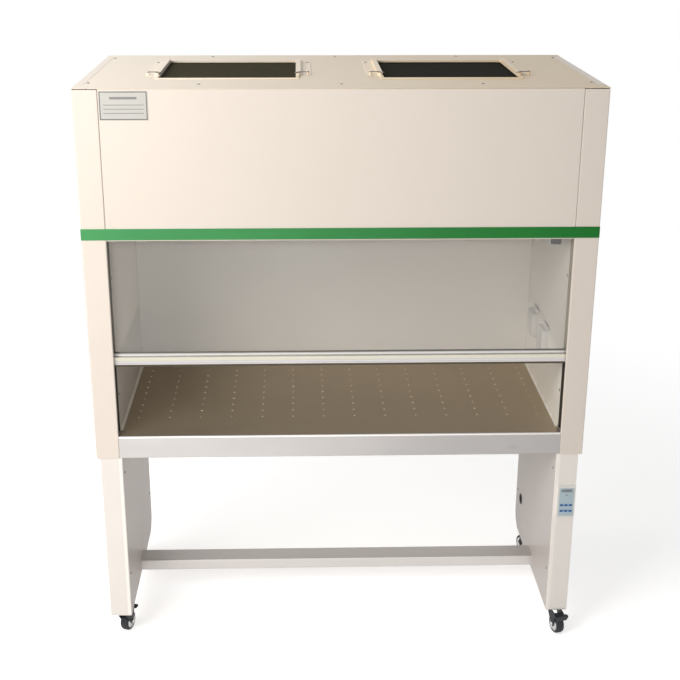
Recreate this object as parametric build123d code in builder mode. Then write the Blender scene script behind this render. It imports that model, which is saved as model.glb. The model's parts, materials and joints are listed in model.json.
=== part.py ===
from build123d import *

import math
import os

# Vertical laminar flow clean bench on a caster base.
# Millimetres, +Z up. The front faces -Y.
# The origin lies on the floor under the middle of the cabinet.
# Each sub-part is one STEP file. Sheet metal is drawn as its folded section, then extruded.

# ---------------------------------------------------------------- driving dimensions

# cabinet
body_width = 1500.0
body_depth = 750.0
body_bottom = 650.0
body_height = 1125.0
steel = 1.5
bend_radius = 3.0
column_width = 71.0
seam = 1.0
fit_gap = 0.5
running_gap = 0.3

# header, strip and fascia
strip_height = 33.0
strip_depth = 2.5
strip_bottom = 1343.0
fascia_lip = 4.0
fascia_hem = 12.0
hem_return = 6.0
cover_flange = 30.0

# top cover
corner_gap = 2.0
seam_inset = 23.0
seam_front = 59.0
seam_rear = 55.0

# column returns
front_return = 9.0
rear_return = 20.0

# work zone
apron_height = 73.0
apron_return = 20.0
apron_radius = 6.0
zone_depth = 625.0
hole_radius = 2.5
hole_sides = 8
hole_pitch_x = 97.5
hole_pitch_y = 50.8
hole_columns = 14
hole_rows = 10
hole_back_margin = 19.8
ledge_width = 24.0
ledge_drop = 20.0

# sash
guide_depth = 38.0
guide_width = 24.0
guide_wall = 2.0
rail_bottom = 948.0
rail_height = 29.0
rail_depth = 28.0
rail_wall = 2.5
rail_crest_height = 9.0
rail_crest_depth = 10.0
rail_entry = 5.0
grip_depth = 4.0
grip_height = 5.0
grip_radius = 1.6
glass_thickness = 5.0
glass_height = 616.0
glass_bite = 14.0
glass_entry = 11.0
glass_slip = 0.1
shoe_clearance = 0.5
shoe_height = 60.0

# plenum and filters
plenum_gap = 2.0
rail_leg = 25.0
rail_thickness = 2.0
main_filter_height = 69.0
main_filter_frame = 15.0
main_filter_gap = 2.0
pleat_count = 34
pleat_thickness = 6.0
pleat_margin = 6.0
slot_length = 240.0
slot_width = 26.0
slot_count = 20
slot_rows = 2
slot_row_pitch = 270.0
deck_height = 1455.0

# blowers
blower_x = 330.0
blower_y = 20.0
blower_width = 200.0
volute_radius = 122.0
volute_step = 10.0
blower_axis_height = 138.5
tongue_y = 25.0
blower_sheet = 1.2
inlet_radius = 80.0
impeller_radius = 100.0
blade_depth = 22.0
blade_count = 18
blade_thickness = 1.6
blade_sweep = 16.0
impeller_width = 150.0
impeller_ring = 7.5
web_thickness = 2.0
hub_radius = 14.0
hub_length = 28.0
shaft_radius = 6.0
shaft_slip = 0.05
motor_radius = 45.0
motor_length = 70.0
motor_bar_width = 24.0
motor_bar_thickness = 3.0

# intakes
intake_side_gap = 220.0
intake_y = 11.0
intake_width = 401.0
intake_depth = 390.0
intake_flange = 9.0
intake_flange_height = 3.0
intake_wall = 1.5
intake_throat = 26.0
intake_lip = 10.0
side_bar_width = 15.0
side_bar_height = 9.0
side_bar_setback = 61.0
side_plate_width = 31.0
side_plate_thickness = 1.2
prefilter_height = 22.0
prefilter_border = 6.0
prefilter_recess = 2.0
clip_offset = 36.0
clip_setback = 72.0
clip_arm = 29.0
clip_width = 8.0
clip_thickness = 2.0
clip_finger = 26.0
clip_finger_start = 23.0
clip_finger_width = 6.0
clip_finger_angle = 35.0
clip_post_radius = 4.0
clip_screw_radius = 2.0
clip_slip = 0.1
clip_head_height = 2.0

# lamp
lamp_length = 1150.0
lamp_radius = 8.0
lamp_pitch = 23.0
lamp_drop = 10.0
batten_height = 12.0
batten_depth = 24.0
batten_extra = 68.0
holder_thickness = 12.0
holder_height = 22.0
block_length = 34.0
block_height = 34.0
block_inset = 3.0
block_radius = 1.5

# splash-proof sockets on the right wall
socket_size = 86.0
socket_thickness = 10.0
socket_bottom = 882.0
socket_first_y = -84.0
socket_pitch = 172.0
socket_recess = 2.0
socket_radius = 4.0
socket_face_size = 43.0
lid_depth = 15.5
lid_wall = 2.0
lid_corner = 8.0
lid_pin_radius = 1.5
lid_pin_rise = 6.0
lid_pin_inset = 3.0
lid_barrel_radius = 3.5
lid_barrel_length = 50.0
lid_lug_length = 8.0
lid_lug_bite = 1.0

# legs
leg_inset = 11.5
leg_width = 65.5
leg_setback = 3.0
leg_depth = 612.0
leg_bottom = 86.0
leg_front_radius = 12.0
leg_rear_radius = 60.0
leg_return = 22.0
cover_seam = 0.5

# stretcher
stretcher_height = 38.0
stretcher_depth = 75.0
stretcher_setback = 280.0
stretcher_lift = 9.0
stretcher_wall = 2.0
stretcher_radius = 4.0

# cable grommet in the right leg
grommet_back_margin = 89.0
grommet_z = 226.0
grommet_bore = 12.0
grommet_body = 16.0
grommet_flange = 19.0
grommet_flange_height = 2.5
grommet_length = 9.0

# control panel on the right leg
panel_width = 56.0
panel_height = 110.0
panel_depth = 6.0
panel_bottom = 433.0
panel_back = 1.5
panel_radius = 2.0
overlay_width = 46.0
overlay_height = 96.0
overlay_thickness = 0.6
overlay_bottom = 438.0
key_width = 9.0
key_height = 5.0
key_pitch = 14.0
key_rows_z = (455.0, 475.0)
key_slip = 0.2
key_radius = 0.4
key_rise = 1.0
key_travel = 0.5
key_back_gap = 0.5
window_width = 34.0
window_height = 9.0
window_z = 525.0
window_depth = 0.4

# nameplate
plate_width = 136.0
plate_height = 82.0
plate_thickness = 1.0
plate_left_gap = 2.0
plate_top_gap = 6.0
plate_radius = 2.0

# casters
caster_front_y = -330.0
caster_rear_y = 150.0
left_front_turn = -20.0
right_front_turn = 16.0
left_rear_turn = 6.0
right_rear_turn = 20.0
caster_plate_x = 58.0
caster_plate_y = 56.0
caster_plate_thickness = 3.0
race_radius = 20.0
race_height = 3.0
king_pin_radius = 5.0
king_pin_slip = 0.05
king_head_radius = 8.0
king_head_height = 2.2
plate_bolt_x = 21.0
plate_bolt_y = 20.0
plate_bolt_radius = 4.0
plate_bolt_height = 2.2
fork_top_thickness = 3.2
fork_top_length = 28.0
fork_gap = 28.0
fork_cheek = 2.5
fork_boss = 9.0
caster_trail = 28.0
wheel_radius = 31.5
wheel_width = 24.0
wheel_round = 5.0
wheel_hub_radius = 9.0
wheel_rim_radius = 22.0
wheel_rim_recess = 3.0
axle_radius = 4.0
axle_slip = 0.05
pedal_pivot_y = 38.0
pedal_pivot_z = 68.0
pedal_pin_radius = 2.0
pedal_barrel_radius = 4.5
pedal_ear_radius = 6.0
pedal_reach = 25.0
pedal_thickness = 3.0
pedal_width = 44.0
pedal_pad_start = 8.0
pedal_tilt = 12.0
pedal_ribs = 3
pedal_rib = 1.2
pedal_rib_pitch = 4.8
pedal_rib_margin = 2.0
pedal_lip_drop = 16.0
pedal_lip_shoulder = 7.0
pedal_lip_thickness = 2.5
pedal_lip_low_width = 30.0

# small screws
screw_radius = 4.0
screw_top_radius = 2.6
screw_height = 1.8
cover_screw_x = 403.0
cover_screw_front_setback = 78.0
cover_screw_rear_setback = 38.0
corner_screw_inset = 31.0
corner_screw_front_setback = 105.0
corner_screw_rear_setback = 80.0
leg_screw_front_setback = 42.0
leg_screw_rear_setback = 28.0
leg_screw_heights = (582.0, 223.0)
leg_rear_screw_z = 235.0
liner_screw_setback = 10.0
liner_screw_heights = (842.0, 1211.0)

# ---------------------------------------------------------------- derived positions

front = -body_depth / 2
rear = body_depth / 2
side = body_width / 2
body_top = body_bottom + body_height
under_cover = body_top - steel
column_top = under_cover - corner_gap
inner = side - column_width
inner_bottom = body_bottom + steel
worktop_top = body_bottom + apron_height
zone_back = front + zone_depth
guide_front = front + front_return
guide_back = guide_front + guide_depth
ceiling = strip_bottom
plenum_front_y = guide_back + plenum_gap
insert = inner - fit_gap
hole_centre_y = zone_back - hole_back_margin - (hole_rows - 1) * hole_pitch_y / 2
intake_x = side - intake_side_gap - intake_width / 2

os.makedirs("parts", exist_ok=True)


def folded_section(points, radius):
    """Closed section of a folded sheet whose outer face follows the points."""
    with BuildSketch() as section:
        with BuildLine():
            FilletPolyline(*points, radius=radius)
            offset(amount=steel, side=Side.LEFT)
        make_face()
    return section.sketch


# ---------------------------------------------------------------- columns

with BuildPart() as right_side_panel:
    with BuildSketch(Plane.XY.offset(body_bottom)):
        add(
            folded_section(
                [
                    (inner, front + front_return),
                    (inner, front),
                    (side, front),
                    (side, rear),
                    (inner, rear),
                    (inner, rear - rear_return),
                ],
                bend_radius,
            )
        )
    extrude(amount=column_top - body_bottom)
    # bottom plate on the leg
    with BuildSketch(Plane.XY.offset(body_bottom)):
        with Locations(((inner + side) / 2, 0)):
            Rectangle(column_width - 2 * steel, body_depth - 2 * steel)
    extrude(amount=steel)
    # top flange beside the cover's seam
    seam_length = body_depth - seam_front - seam_rear
    seam_centre = (seam_front - seam_rear) / 2
    with BuildSketch(Plane.XY.offset(column_top)):
        with Locations((side - steel / 2, seam_centre)):
            Rectangle(steel, seam_length)
    extrude(amount=body_top - column_top)
    with BuildSketch(Plane.XY.offset(under_cover)):
        with Locations((side - seam_inset / 2, seam_centre)):
            Rectangle(seam_inset, seam_length)
    extrude(amount=steel)
right_side_panel.part.label = "right_side_panel"
export_step(right_side_panel.part, "parts/right_side_panel.step")

with BuildPart() as left_side_panel:
    mirror(right_side_panel.part, about=Plane.YZ)
left_side_panel.part.label = "left_side_panel"
export_step(left_side_panel.part, "parts/left_side_panel.step")

# ---------------------------------------------------------------- fascia, strip and nameplate

fascia_bottom = strip_bottom - fascia_lip
fascia_half = inner - seam

with BuildPart() as front_fascia:
    with BuildSketch(Plane.YZ.offset(-fascia_half)):
        add(
            folded_section(
                [
                    (front + cover_flange, under_cover),
                    (front, under_cover),
                    (front, fascia_bottom),
                    (front + fascia_hem, fascia_bottom),
                    (front + fascia_hem, fascia_bottom + hem_return),
                ],
                bend_radius,
            )
        )
    extrude(amount=2 * fascia_half)
front_fascia.part.label = "front_fascia"
export_step(front_fascia.part, "parts/front_fascia.step")

with BuildPart() as trim_strip:
    with BuildSketch(Plane.YZ.offset(-side)) as strip_section:
        with Locations((front - strip_depth / 2, strip_bottom + strip_height / 2)):
            Rectangle(strip_depth, strip_height)
        fillet(strip_section.vertices().group_by(Axis.X)[0], radius=strip_depth / 2)
    extrude(amount=body_width)
trim_strip.part.label = "trim_strip"
export_step(trim_strip.part, "parts/trim_strip.step")

with BuildPart() as nameplate:
    with BuildSketch(Plane.XZ.offset(-front)):
        with Locations(
            (
                -fascia_half + plate_left_gap + plate_width / 2,
                body_top - plate_top_gap - plate_height / 2,
            )
        ):
            RectangleRounded(plate_width, plate_height, plate_radius)
    extrude(amount=plate_thickness)
nameplate.part.label = "nameplate"
export_step(nameplate.part, "parts/nameplate.step")

# ---------------------------------------------------------------- top cover

cut_width = intake_width + 2 * intake_wall
cut_depth = intake_depth + 2 * intake_wall

with BuildPart() as top_cover:
    with BuildSketch(Plane.XY.offset(under_cover)):
        Rectangle(body_width, body_depth)
        for hand in (-1, 1):
            with Locations((hand * (side - (seam_inset + seam) / 2), seam_centre)):
                Rectangle(seam_inset + seam, seam_length + 2 * seam, mode=Mode.SUBTRACT)
        with Locations((-intake_x, intake_y), (intake_x, intake_y)):
            Rectangle(cut_width, cut_depth, mode=Mode.SUBTRACT)
    extrude(amount=steel)
top_cover.part.label = "top_cover"
export_step(top_cover.part, "parts/top_cover.step")

# ---------------------------------------------------------------- rear panel and liners

with BuildPart() as rear_panel:
    with BuildSketch(Plane.YZ.offset(-fascia_half)):
        add(
            folded_section(
                [
                    (zone_back, body_bottom),
                    (rear, body_bottom),
                    (rear, under_cover),
                    (rear - cover_flange, under_cover),
                ],
                bend_radius,
            )
        )
    extrude(amount=2 * fascia_half)
rear_panel.part.label = "rear_panel"
export_step(rear_panel.part, "parts/rear_panel.step")

with BuildPart() as right_liner:
    with BuildSketch(Plane.YZ.offset(inner)):
        with BuildLine():
            Polyline(
                (guide_front, inner_bottom),
                (rear - rear_return, inner_bottom),
                (rear - rear_return, column_top),
                (guide_back, column_top),
                (guide_back, worktop_top),
                (guide_front, worktop_top),
                close=True,
            )
        make_face()
    extrude(amount=steel)
right_liner.part.label = "right_liner"
export_step(right_liner.part, "parts/right_liner.step")

with BuildPart() as left_liner:
    mirror(right_liner.part, about=Plane.YZ)
left_liner.part.label = "left_liner"
export_step(left_liner.part, "parts/left_liner.step")

with BuildPart() as back_liner:
    with BuildSketch(Plane.XY.offset(inner_bottom)):
        with Locations((0, zone_back + steel / 2)):
            Rectangle(2 * insert, steel)
    extrude(amount=deck_height - inner_bottom)
back_liner.part.label = "back_liner"
export_step(back_liner.part, "parts/back_liner.step")

# ---------------------------------------------------------------- worktop and ledges

with BuildPart() as worktop:
    with BuildSketch(Plane.YZ.offset(-insert)):
        add(
            folded_section(
                [
                    (zone_back - fit_gap, worktop_top),
                    (front, worktop_top),
                    (front, body_bottom),
                    (front + apron_return, body_bottom),
                ],
                apron_radius,
            )
        )
    extrude(amount=2 * insert)
    with BuildSketch(Plane.XY.offset(worktop_top)):
        with Locations((0, hole_centre_y)):
            with GridLocations(hole_pitch_x, hole_pitch_y, hole_columns, hole_rows):
                RegularPolygon(hole_radius, hole_sides)
    extrude(amount=-steel, mode=Mode.SUBTRACT)
worktop.part.label = "worktop"
export_step(worktop.part, "parts/worktop.step")

ledge_top = worktop_top - steel
ledge_start = front + apron_return
ledge_length = zone_back - fit_gap - ledge_start
with BuildPart() as ledges:
    # one angle under each side of the worktop
    with BuildSketch(Plane.XZ.offset(-ledge_start)):
        with BuildLine():
            Polyline(
                (inner, ledge_top),
                (inner - ledge_width, ledge_top),
                (inner - ledge_width, ledge_top - steel),
                (inner - steel, ledge_top - steel),
                (inner - steel, ledge_top - ledge_drop),
                (inner, ledge_top - ledge_drop),
                close=True,
            )
        make_face()
        mirror(about=Plane.YZ)
    extrude(amount=-ledge_length)
    # front and rear angle that carry the diffuser and the main filter
    with BuildSketch(Plane.YZ.offset(-insert)):
        for edge, direction in ((plenum_front_y + steel, 1), (zone_back, -1)):
            with BuildLine():
                Polyline(
                    (edge, ceiling),
                    (edge + direction * rail_leg, ceiling),
                    (edge + direction * rail_leg, ceiling + rail_thickness),
                    (edge + direction * rail_thickness, ceiling + rail_thickness),
                    (edge + direction * rail_thickness, ceiling + rail_leg),
                    (edge, ceiling + rail_leg),
                    close=True,
                )
            make_face()
    extrude(amount=2 * insert)
ledges.part.label = "ledges"
export_step(ledges.part, "parts/ledges.step")

# ---------------------------------------------------------------- sash guides

with BuildPart() as sash_guides:
    with BuildSketch(Plane.XY.offset(worktop_top)):
        with Locations((inner + guide_width / 2, (guide_front + guide_back) / 2)):
            Rectangle(guide_width, guide_depth)
        with Locations((inner + (guide_width - guide_wall) / 2, (guide_front + guide_back) / 2)):
            Rectangle(guide_width - guide_wall, guide_depth - 2 * guide_wall, mode=Mode.SUBTRACT)
        mirror(about=Plane.YZ)
    extrude(amount=column_top - worktop_top)
sash_guides.part.label = "sash_guides"
export_step(sash_guides.part, "parts/sash_guides.step")

# ---------------------------------------------------------------- sash

sash_y = (guide_front + guide_back) / 2
rail_top = rail_bottom + rail_height
crest_top = rail_top + rail_crest_height
rail_half = inner + rail_entry
glass_half = inner + glass_entry
glass_bottom = crest_top - glass_bite
groove = glass_thickness + 2 * glass_slip
shoe_outer = inner + guide_width - guide_wall - 2 * shoe_clearance
shoe_depth = guide_depth - 2 * guide_wall - 2 * shoe_clearance
slot_inner = glass_half + glass_slip

with BuildPart() as sash_glass:
    with BuildSketch(Plane.XY.offset(glass_bottom)):
        with Locations((0, sash_y)):
            Rectangle(2 * glass_half, glass_thickness)
    extrude(amount=glass_height)
sash_glass.part.label = "sash_glass"
export_step(sash_glass.part, "parts/sash_glass.step")

with BuildPart() as sash_rail:
    with BuildSketch(Plane.YZ.offset(-rail_half)):
        with Locations((sash_y, rail_bottom + rail_height / 2)):
            Rectangle(rail_depth, rail_height)
        with Locations((sash_y, rail_top + rail_crest_height / 2)):
            Rectangle(rail_crest_depth, rail_crest_height)
        with Locations((sash_y, crest_top)):
            Rectangle(groove, glass_bite, align=(Align.CENTER, Align.MAX), mode=Mode.SUBTRACT)
        with Locations((sash_y, rail_bottom + rail_wall)):
            Rectangle(
                rail_depth - 2 * rail_wall,
                glass_bottom - rail_bottom - 2 * rail_wall,
                align=(Align.CENTER, Align.MIN),
                mode=Mode.SUBTRACT,
            )
    extrude(amount=2 * rail_half)
    # finger grip along the lower front edge, clear of the guides
    with BuildSketch(Plane.YZ.offset(-insert)) as grip_section:
        with Locations((sash_y - rail_depth / 2, rail_bottom)):
            Rectangle(grip_depth, grip_height, align=(Align.MAX, Align.MIN))
        fillet(grip_section.vertices().group_by(Axis.X)[0], radius=grip_radius)
    extrude(amount=2 * insert)
sash_rail.part.label = "sash_rail"
export_step(sash_rail.part, "parts/sash_rail.step")

with BuildPart() as sash_shoes:
    upper_shoe_inner = inner + glass_slip
    for shoe_inner, shoe_z, height in (
        (rail_half, rail_bottom, crest_top - rail_bottom),
        (upper_shoe_inner, glass_bottom + glass_height - shoe_height, shoe_height),
    ):
        with BuildSketch(Plane.XY.offset(shoe_z)):
            with Locations(((shoe_inner + shoe_outer) / 2, sash_y)):
                Rectangle(shoe_outer - shoe_inner, shoe_depth)
            mirror(about=Plane.YZ)
        extrude(amount=height)
    # slots that grip the glass
    with BuildSketch(Plane.XY.offset(glass_bottom)):
        with Locations((0, sash_y)):
            Rectangle(2 * slot_inner, groove)
    extrude(amount=glass_height, mode=Mode.SUBTRACT)
sash_shoes.part.label = "sash_shoes"
export_step(sash_shoes.part, "parts/sash_shoes.step")

# ------------------------------------------------------ plenum, fan deck, main filter, diffuser

with BuildPart() as plenum_front:
    with BuildSketch(Plane.YZ.offset(-insert)):
        with BuildLine():
            Polyline(
                (plenum_front_y, ceiling),
                (plenum_front_y + steel, ceiling),
                (plenum_front_y + steel, under_cover - steel),
                (plenum_front_y + rail_leg, under_cover - steel),
                (plenum_front_y + rail_leg, under_cover),
                (plenum_front_y, under_cover),
                close=True,
            )
        make_face()
    extrude(amount=2 * insert)
plenum_front.part.label = "plenum_front"
export_step(plenum_front.part, "parts/plenum_front.step")

deck_front = plenum_front_y + steel
deck_back = zone_back + steel
outlet_front = blower_y + tongue_y
outlet_back = blower_y + volute_radius + 2 * volute_step + volute_step / 2
outlet_width = blower_width - 2 * blower_sheet

with BuildPart() as fan_deck:
    with BuildSketch(Plane.XY.offset(deck_height)):
        with Locations((0, (deck_front + deck_back) / 2)):
            Rectangle(2 * insert, deck_back - deck_front)
        with Locations(
            (-blower_x, (outlet_front + outlet_back) / 2),
            (blower_x, (outlet_front + outlet_back) / 2),
        ):
            Rectangle(
                outlet_width,
                outlet_back - outlet_front - 2 * blower_sheet,
                mode=Mode.SUBTRACT,
            )
    extrude(amount=steel)
fan_deck.part.label = "fan_deck"
export_step(fan_deck.part, "parts/fan_deck.step")

diffuser_bottom = ceiling + rail_thickness
diffuser_front = plenum_front_y + steel + rail_thickness + fit_gap
diffuser_back = zone_back - rail_thickness - fit_gap
with BuildPart() as diffuser_plate:
    with BuildSketch(Plane.XY.offset(diffuser_bottom)):
        with Locations((0, (diffuser_front + diffuser_back) / 2)):
            Rectangle(2 * insert, diffuser_back - diffuser_front)
            with GridLocations(2 * insert / slot_count, slot_row_pitch, slot_count, slot_rows):
                SlotOverall(slot_length, slot_width, rotation=90, mode=Mode.SUBTRACT)
    extrude(amount=steel)
diffuser_plate.part.label = "diffuser_plate"
export_step(diffuser_plate.part, "parts/diffuser_plate.step")

filter_bottom = diffuser_bottom + steel
filter_half_x = insert - main_filter_gap
filter_front = diffuser_front + main_filter_gap
filter_back = diffuser_back - main_filter_gap
filter_centre_y = (filter_front + filter_back) / 2
pack_x = filter_half_x - main_filter_frame
pack_depth = filter_back - filter_front - 2 * main_filter_frame
pleat_pitch = 2 * pack_x / pleat_count
pack_low = filter_bottom + pleat_margin
pack_high = filter_bottom + main_filter_height - pleat_margin

with BuildPart() as main_filter:
    # frame
    with BuildSketch(Plane.XY.offset(filter_bottom)):
        with Locations((0, filter_centre_y)):
            Rectangle(2 * filter_half_x, filter_back - filter_front)
            Rectangle(2 * pack_x, pack_depth, mode=Mode.SUBTRACT)
    extrude(amount=main_filter_height)
    # pleated pack, a zigzag of constant height
    lower_edge = [
        (-pack_x + i * pleat_pitch / 2, pack_low if i % 2 == 0 else pack_high - pleat_thickness)
        for i in range(2 * pleat_count + 1)
    ]
    upper_edge = [(x, z + pleat_thickness) for x, z in reversed(lower_edge)]
    with BuildSketch(Plane.XZ.offset(-filter_centre_y - pack_depth / 2)):
        with BuildLine():
            Polyline(*lower_edge, *upper_edge, close=True)
        make_face()
    extrude(amount=pack_depth)
main_filter.part.label = "main_filter"
export_step(main_filter.part, "parts/main_filter.step")

# ---------------------------------------------------------------- blowers

axis_z = deck_height + steel + blower_axis_height
volute_centre = volute_step / 2
mid_radius = volute_radius + volute_step
end_radius = volute_radius + 2 * volute_step
volute_low = (-volute_centre, volute_centre - volute_radius)
volute_left = (-volute_centre - volute_radius, volute_centre)
volute_high = (volute_centre, volute_centre + mid_radius)
volute_right = (volute_centre + end_radius, -volute_centre)
sweep_angle = math.radians(blade_sweep)
blade_root = (impeller_radius - blade_depth, 0)
blade_tip = (impeller_radius * math.cos(sweep_angle), impeller_radius * math.sin(sweep_angle))


def volute_outline(wall):
    """Scroll outline about the impeller axis: quarter arcs that open towards the outlet."""
    low = (volute_low[0], volute_low[1] + wall)
    left = (volute_left[0] + wall, volute_left[1])
    high = (volute_high[0], volute_high[1] - wall)
    right = (volute_right[0] - wall, volute_right[1])
    tongue = tongue_y + wall
    with BuildSketch() as outline:
        with BuildLine():
            Line((tongue, low[1]), low)
            RadiusArc(low, left, volute_radius - wall)
            RadiusArc(left, high, mid_radius - wall)
            RadiusArc(high, right, end_radius - wall)
            Line(right, (right[0], -blower_axis_height))
            Line((right[0], -blower_axis_height), (tongue, -blower_axis_height))
            Line((tongue, -blower_axis_height), (tongue, low[1]))
        make_face()
    return outline.sketch


for hand, blower_name in ((-1, "left"), (1, "right")):
    centre_x = hand * blower_x
    near = Plane(
        origin=(centre_x - blower_width / 2, blower_y, axis_z), x_dir=(0, 1, 0), z_dir=(1, 0, 0)
    )
    middle = near.offset(blower_width / 2)

    with BuildPart() as blower:
        # scroll wall, open at the outlet below
        with BuildSketch(near):
            add(volute_outline(0))
        extrude(amount=blower_width)
        with BuildSketch(near.offset(blower_sheet)):
            add(volute_outline(blower_sheet))
        extrude(amount=blower_width - 2 * blower_sheet, mode=Mode.SUBTRACT)
        # an inlet in each side
        with BuildSketch(near):
            Circle(inlet_radius)
        extrude(amount=blower_width, mode=Mode.SUBTRACT)
        # bar across one inlet, motor and shaft
        with BuildSketch(near.offset(blower_width - motor_bar_thickness)):
            Rectangle(2 * inlet_radius, motor_bar_width)
        extrude(amount=motor_bar_thickness)
        with BuildSketch(near.offset(blower_width - motor_bar_thickness)):
            Circle(motor_radius)
        extrude(amount=-motor_length)
        with BuildSketch(middle.offset(-hub_length / 2)):
            Circle(shaft_radius)
        extrude(amount=blower_width / 2 - motor_bar_thickness - motor_length + hub_length / 2)
    blower.part.label = f"{blower_name}_blower"
    export_step(blower.part, f"parts/{blower_name}_blower.step")

    with BuildPart() as impeller:
        # web and hub
        with BuildSketch(middle.offset(-web_thickness / 2)):
            Circle(impeller_radius)
        extrude(amount=web_thickness)
        with BuildSketch(middle.offset(-hub_length / 2)):
            Circle(hub_radius)
        extrude(amount=hub_length)
        # forward-curved blades
        with BuildSketch(middle.offset(-impeller_width / 2)):
            with PolarLocations(0, blade_count):
                with BuildLine():
                    RadiusArc(blade_root, blade_tip, -blade_depth)
                    offset(amount=blade_thickness, side=Side.LEFT)
                make_face()
        extrude(amount=impeller_width)
        # end rings
        for ring_offset in (-impeller_width / 2, impeller_width / 2 - web_thickness):
            with BuildSketch(middle.offset(ring_offset)):
                Circle(impeller_radius)
                Circle(impeller_radius - impeller_ring, mode=Mode.SUBTRACT)
            extrude(amount=web_thickness)
        with BuildSketch(middle.offset(-hub_length / 2)):
            Circle(shaft_radius + shaft_slip)
        extrude(amount=hub_length, mode=Mode.SUBTRACT)
    impeller.part.label = f"{blower_name}_impeller"
    export_step(impeller.part, f"parts/{blower_name}_impeller.step")

# ---------------------------------------------------------------- intakes, prefilters and clips

bar_top = body_top + side_bar_height
clip_bottom = bar_top + running_gap
clip_y = intake_y - intake_depth / 2 + clip_setback
plate_top = body_top + side_plate_thickness

for hand, intake_name in ((-1, "left"), (1, "right")):
    centre = (hand * intake_x, intake_y)
    with BuildPart() as intake_frame:
        # throat through the cover, with a lip that carries the prefilter
        with BuildSketch(Plane.XY.offset(body_top - intake_throat)):
            with Locations(centre):
                Rectangle(cut_width, cut_depth)
                Rectangle(intake_width, intake_depth, mode=Mode.SUBTRACT)
        extrude(amount=intake_throat)
        with BuildSketch(Plane.XY.offset(body_top - intake_throat)):
            with Locations(centre):
                Rectangle(intake_width, intake_depth)
                Rectangle(
                    intake_width - 2 * intake_lip,
                    intake_depth - 2 * intake_lip,
                    mode=Mode.SUBTRACT,
                )
        extrude(amount=intake_wall)
        # flange on the cover
        with BuildSketch(Plane.XY.offset(body_top)):
            with Locations(centre):
                Rectangle(intake_width + 2 * intake_flange, intake_depth + 2 * intake_flange)
                Rectangle(intake_width, intake_depth, mode=Mode.SUBTRACT)
        extrude(amount=intake_flange_height)
        # side bars with rounded front ends, and the plates that their screws hold
        bar_length = intake_depth - side_bar_setback + intake_flange
        bar_y = intake_y + intake_depth / 2 + intake_flange - bar_length / 2
        for edge in (-1, 1):
            bar_x = centre[0] + edge * (intake_width + side_bar_width) / 2
            with BuildSketch(Plane.XY.offset(body_top)):
                with Locations((bar_x, bar_y)):
                    Rectangle(side_bar_width, bar_length)
                with Locations((bar_x, bar_y - bar_length / 2)):
                    Circle(side_bar_width / 2)
            extrude(amount=side_bar_height)
            with BuildSketch(Plane.XY.offset(body_top)):
                with Locations(
                    (bar_x + edge * (side_bar_width + side_plate_width) / 2, bar_y)
                ):
                    Rectangle(side_plate_width, bar_length)
            extrude(amount=side_plate_thickness)
            # post and screw of the clip
            clip_x = centre[0] + edge * (intake_width / 2 + clip_offset)
            with BuildSketch(Plane.XY.offset(body_top)):
                with Locations((clip_x, clip_y)):
                    Circle(clip_post_radius)
            extrude(amount=side_bar_height)
            with BuildSketch(Plane.XY.offset(bar_top)):
                with Locations((clip_x, clip_y)):
                    Circle(clip_screw_radius)
            extrude(amount=2 * running_gap + clip_thickness)
            with BuildSketch(Plane.XY.offset(clip_bottom + clip_thickness + running_gap)):
                with Locations((clip_x, clip_y)):
                    Circle(clip_post_radius)
            extrude(amount=clip_head_height)
    intake_frame.part.label = f"{intake_name}_intake_frame"
    export_step(intake_frame.part, f"parts/{intake_name}_intake_frame.step")

    with BuildPart() as prefilter:
        lip_top = body_top - intake_throat + intake_wall
        with BuildSketch(Plane.XY.offset(lip_top)):
            with Locations(centre):
                Rectangle(intake_width - 2 * fit_gap, intake_depth - 2 * fit_gap)
        extrude(amount=prefilter_height)
        with BuildSketch(Plane.XY.offset(lip_top + prefilter_height)):
            with Locations(centre):
                Rectangle(
                    intake_width - 2 * prefilter_border, intake_depth - 2 * prefilter_border
                )
        extrude(amount=-prefilter_recess, mode=Mode.SUBTRACT)
    prefilter.part.label = f"{intake_name}_prefilter"
    export_step(prefilter.part, f"parts/{intake_name}_prefilter.step")

    for edge in (-1, 1):
        # an L-shaped lever that reaches over the side bar and swivels on its screw
        clip_name = "outer" if edge == hand else "inner"
        clip_x = centre[0] + edge * (intake_width / 2 + clip_offset)
        with BuildPart() as clip:
            with BuildSketch(Plane((clip_x, clip_y, clip_bottom))):
                Circle(clip_width / 2)
                with Locations((-edge * clip_arm / 2, 0)):
                    Rectangle(clip_arm, clip_width)
                with Locations((-edge * clip_finger_start, 0)):
                    with Locations(Rotation(0, 0, -90 - edge * clip_finger_angle)):
                        Rectangle(
                            clip_finger, clip_finger_width, align=(Align.MIN, Align.CENTER)
                        )
                Circle(clip_screw_radius + clip_slip, mode=Mode.SUBTRACT)
            extrude(amount=clip_thickness)
        clip.part.label = f"{intake_name}_{clip_name}_clip"
        export_step(clip.part, f"parts/{intake_name}_{clip_name}_clip.step")

# ---------------------------------------------------------------- lamp

lamp_front = plenum_front_y + steel
batten_y = lamp_front + batten_depth / 2
lamp_z = ceiling - lamp_drop
first_lamp_y = lamp_front + batten_depth + lamp_radius + running_gap
lamp_block_x = lamp_length / 2 + holder_thickness + batten_extra - block_length / 2 - block_inset

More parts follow.
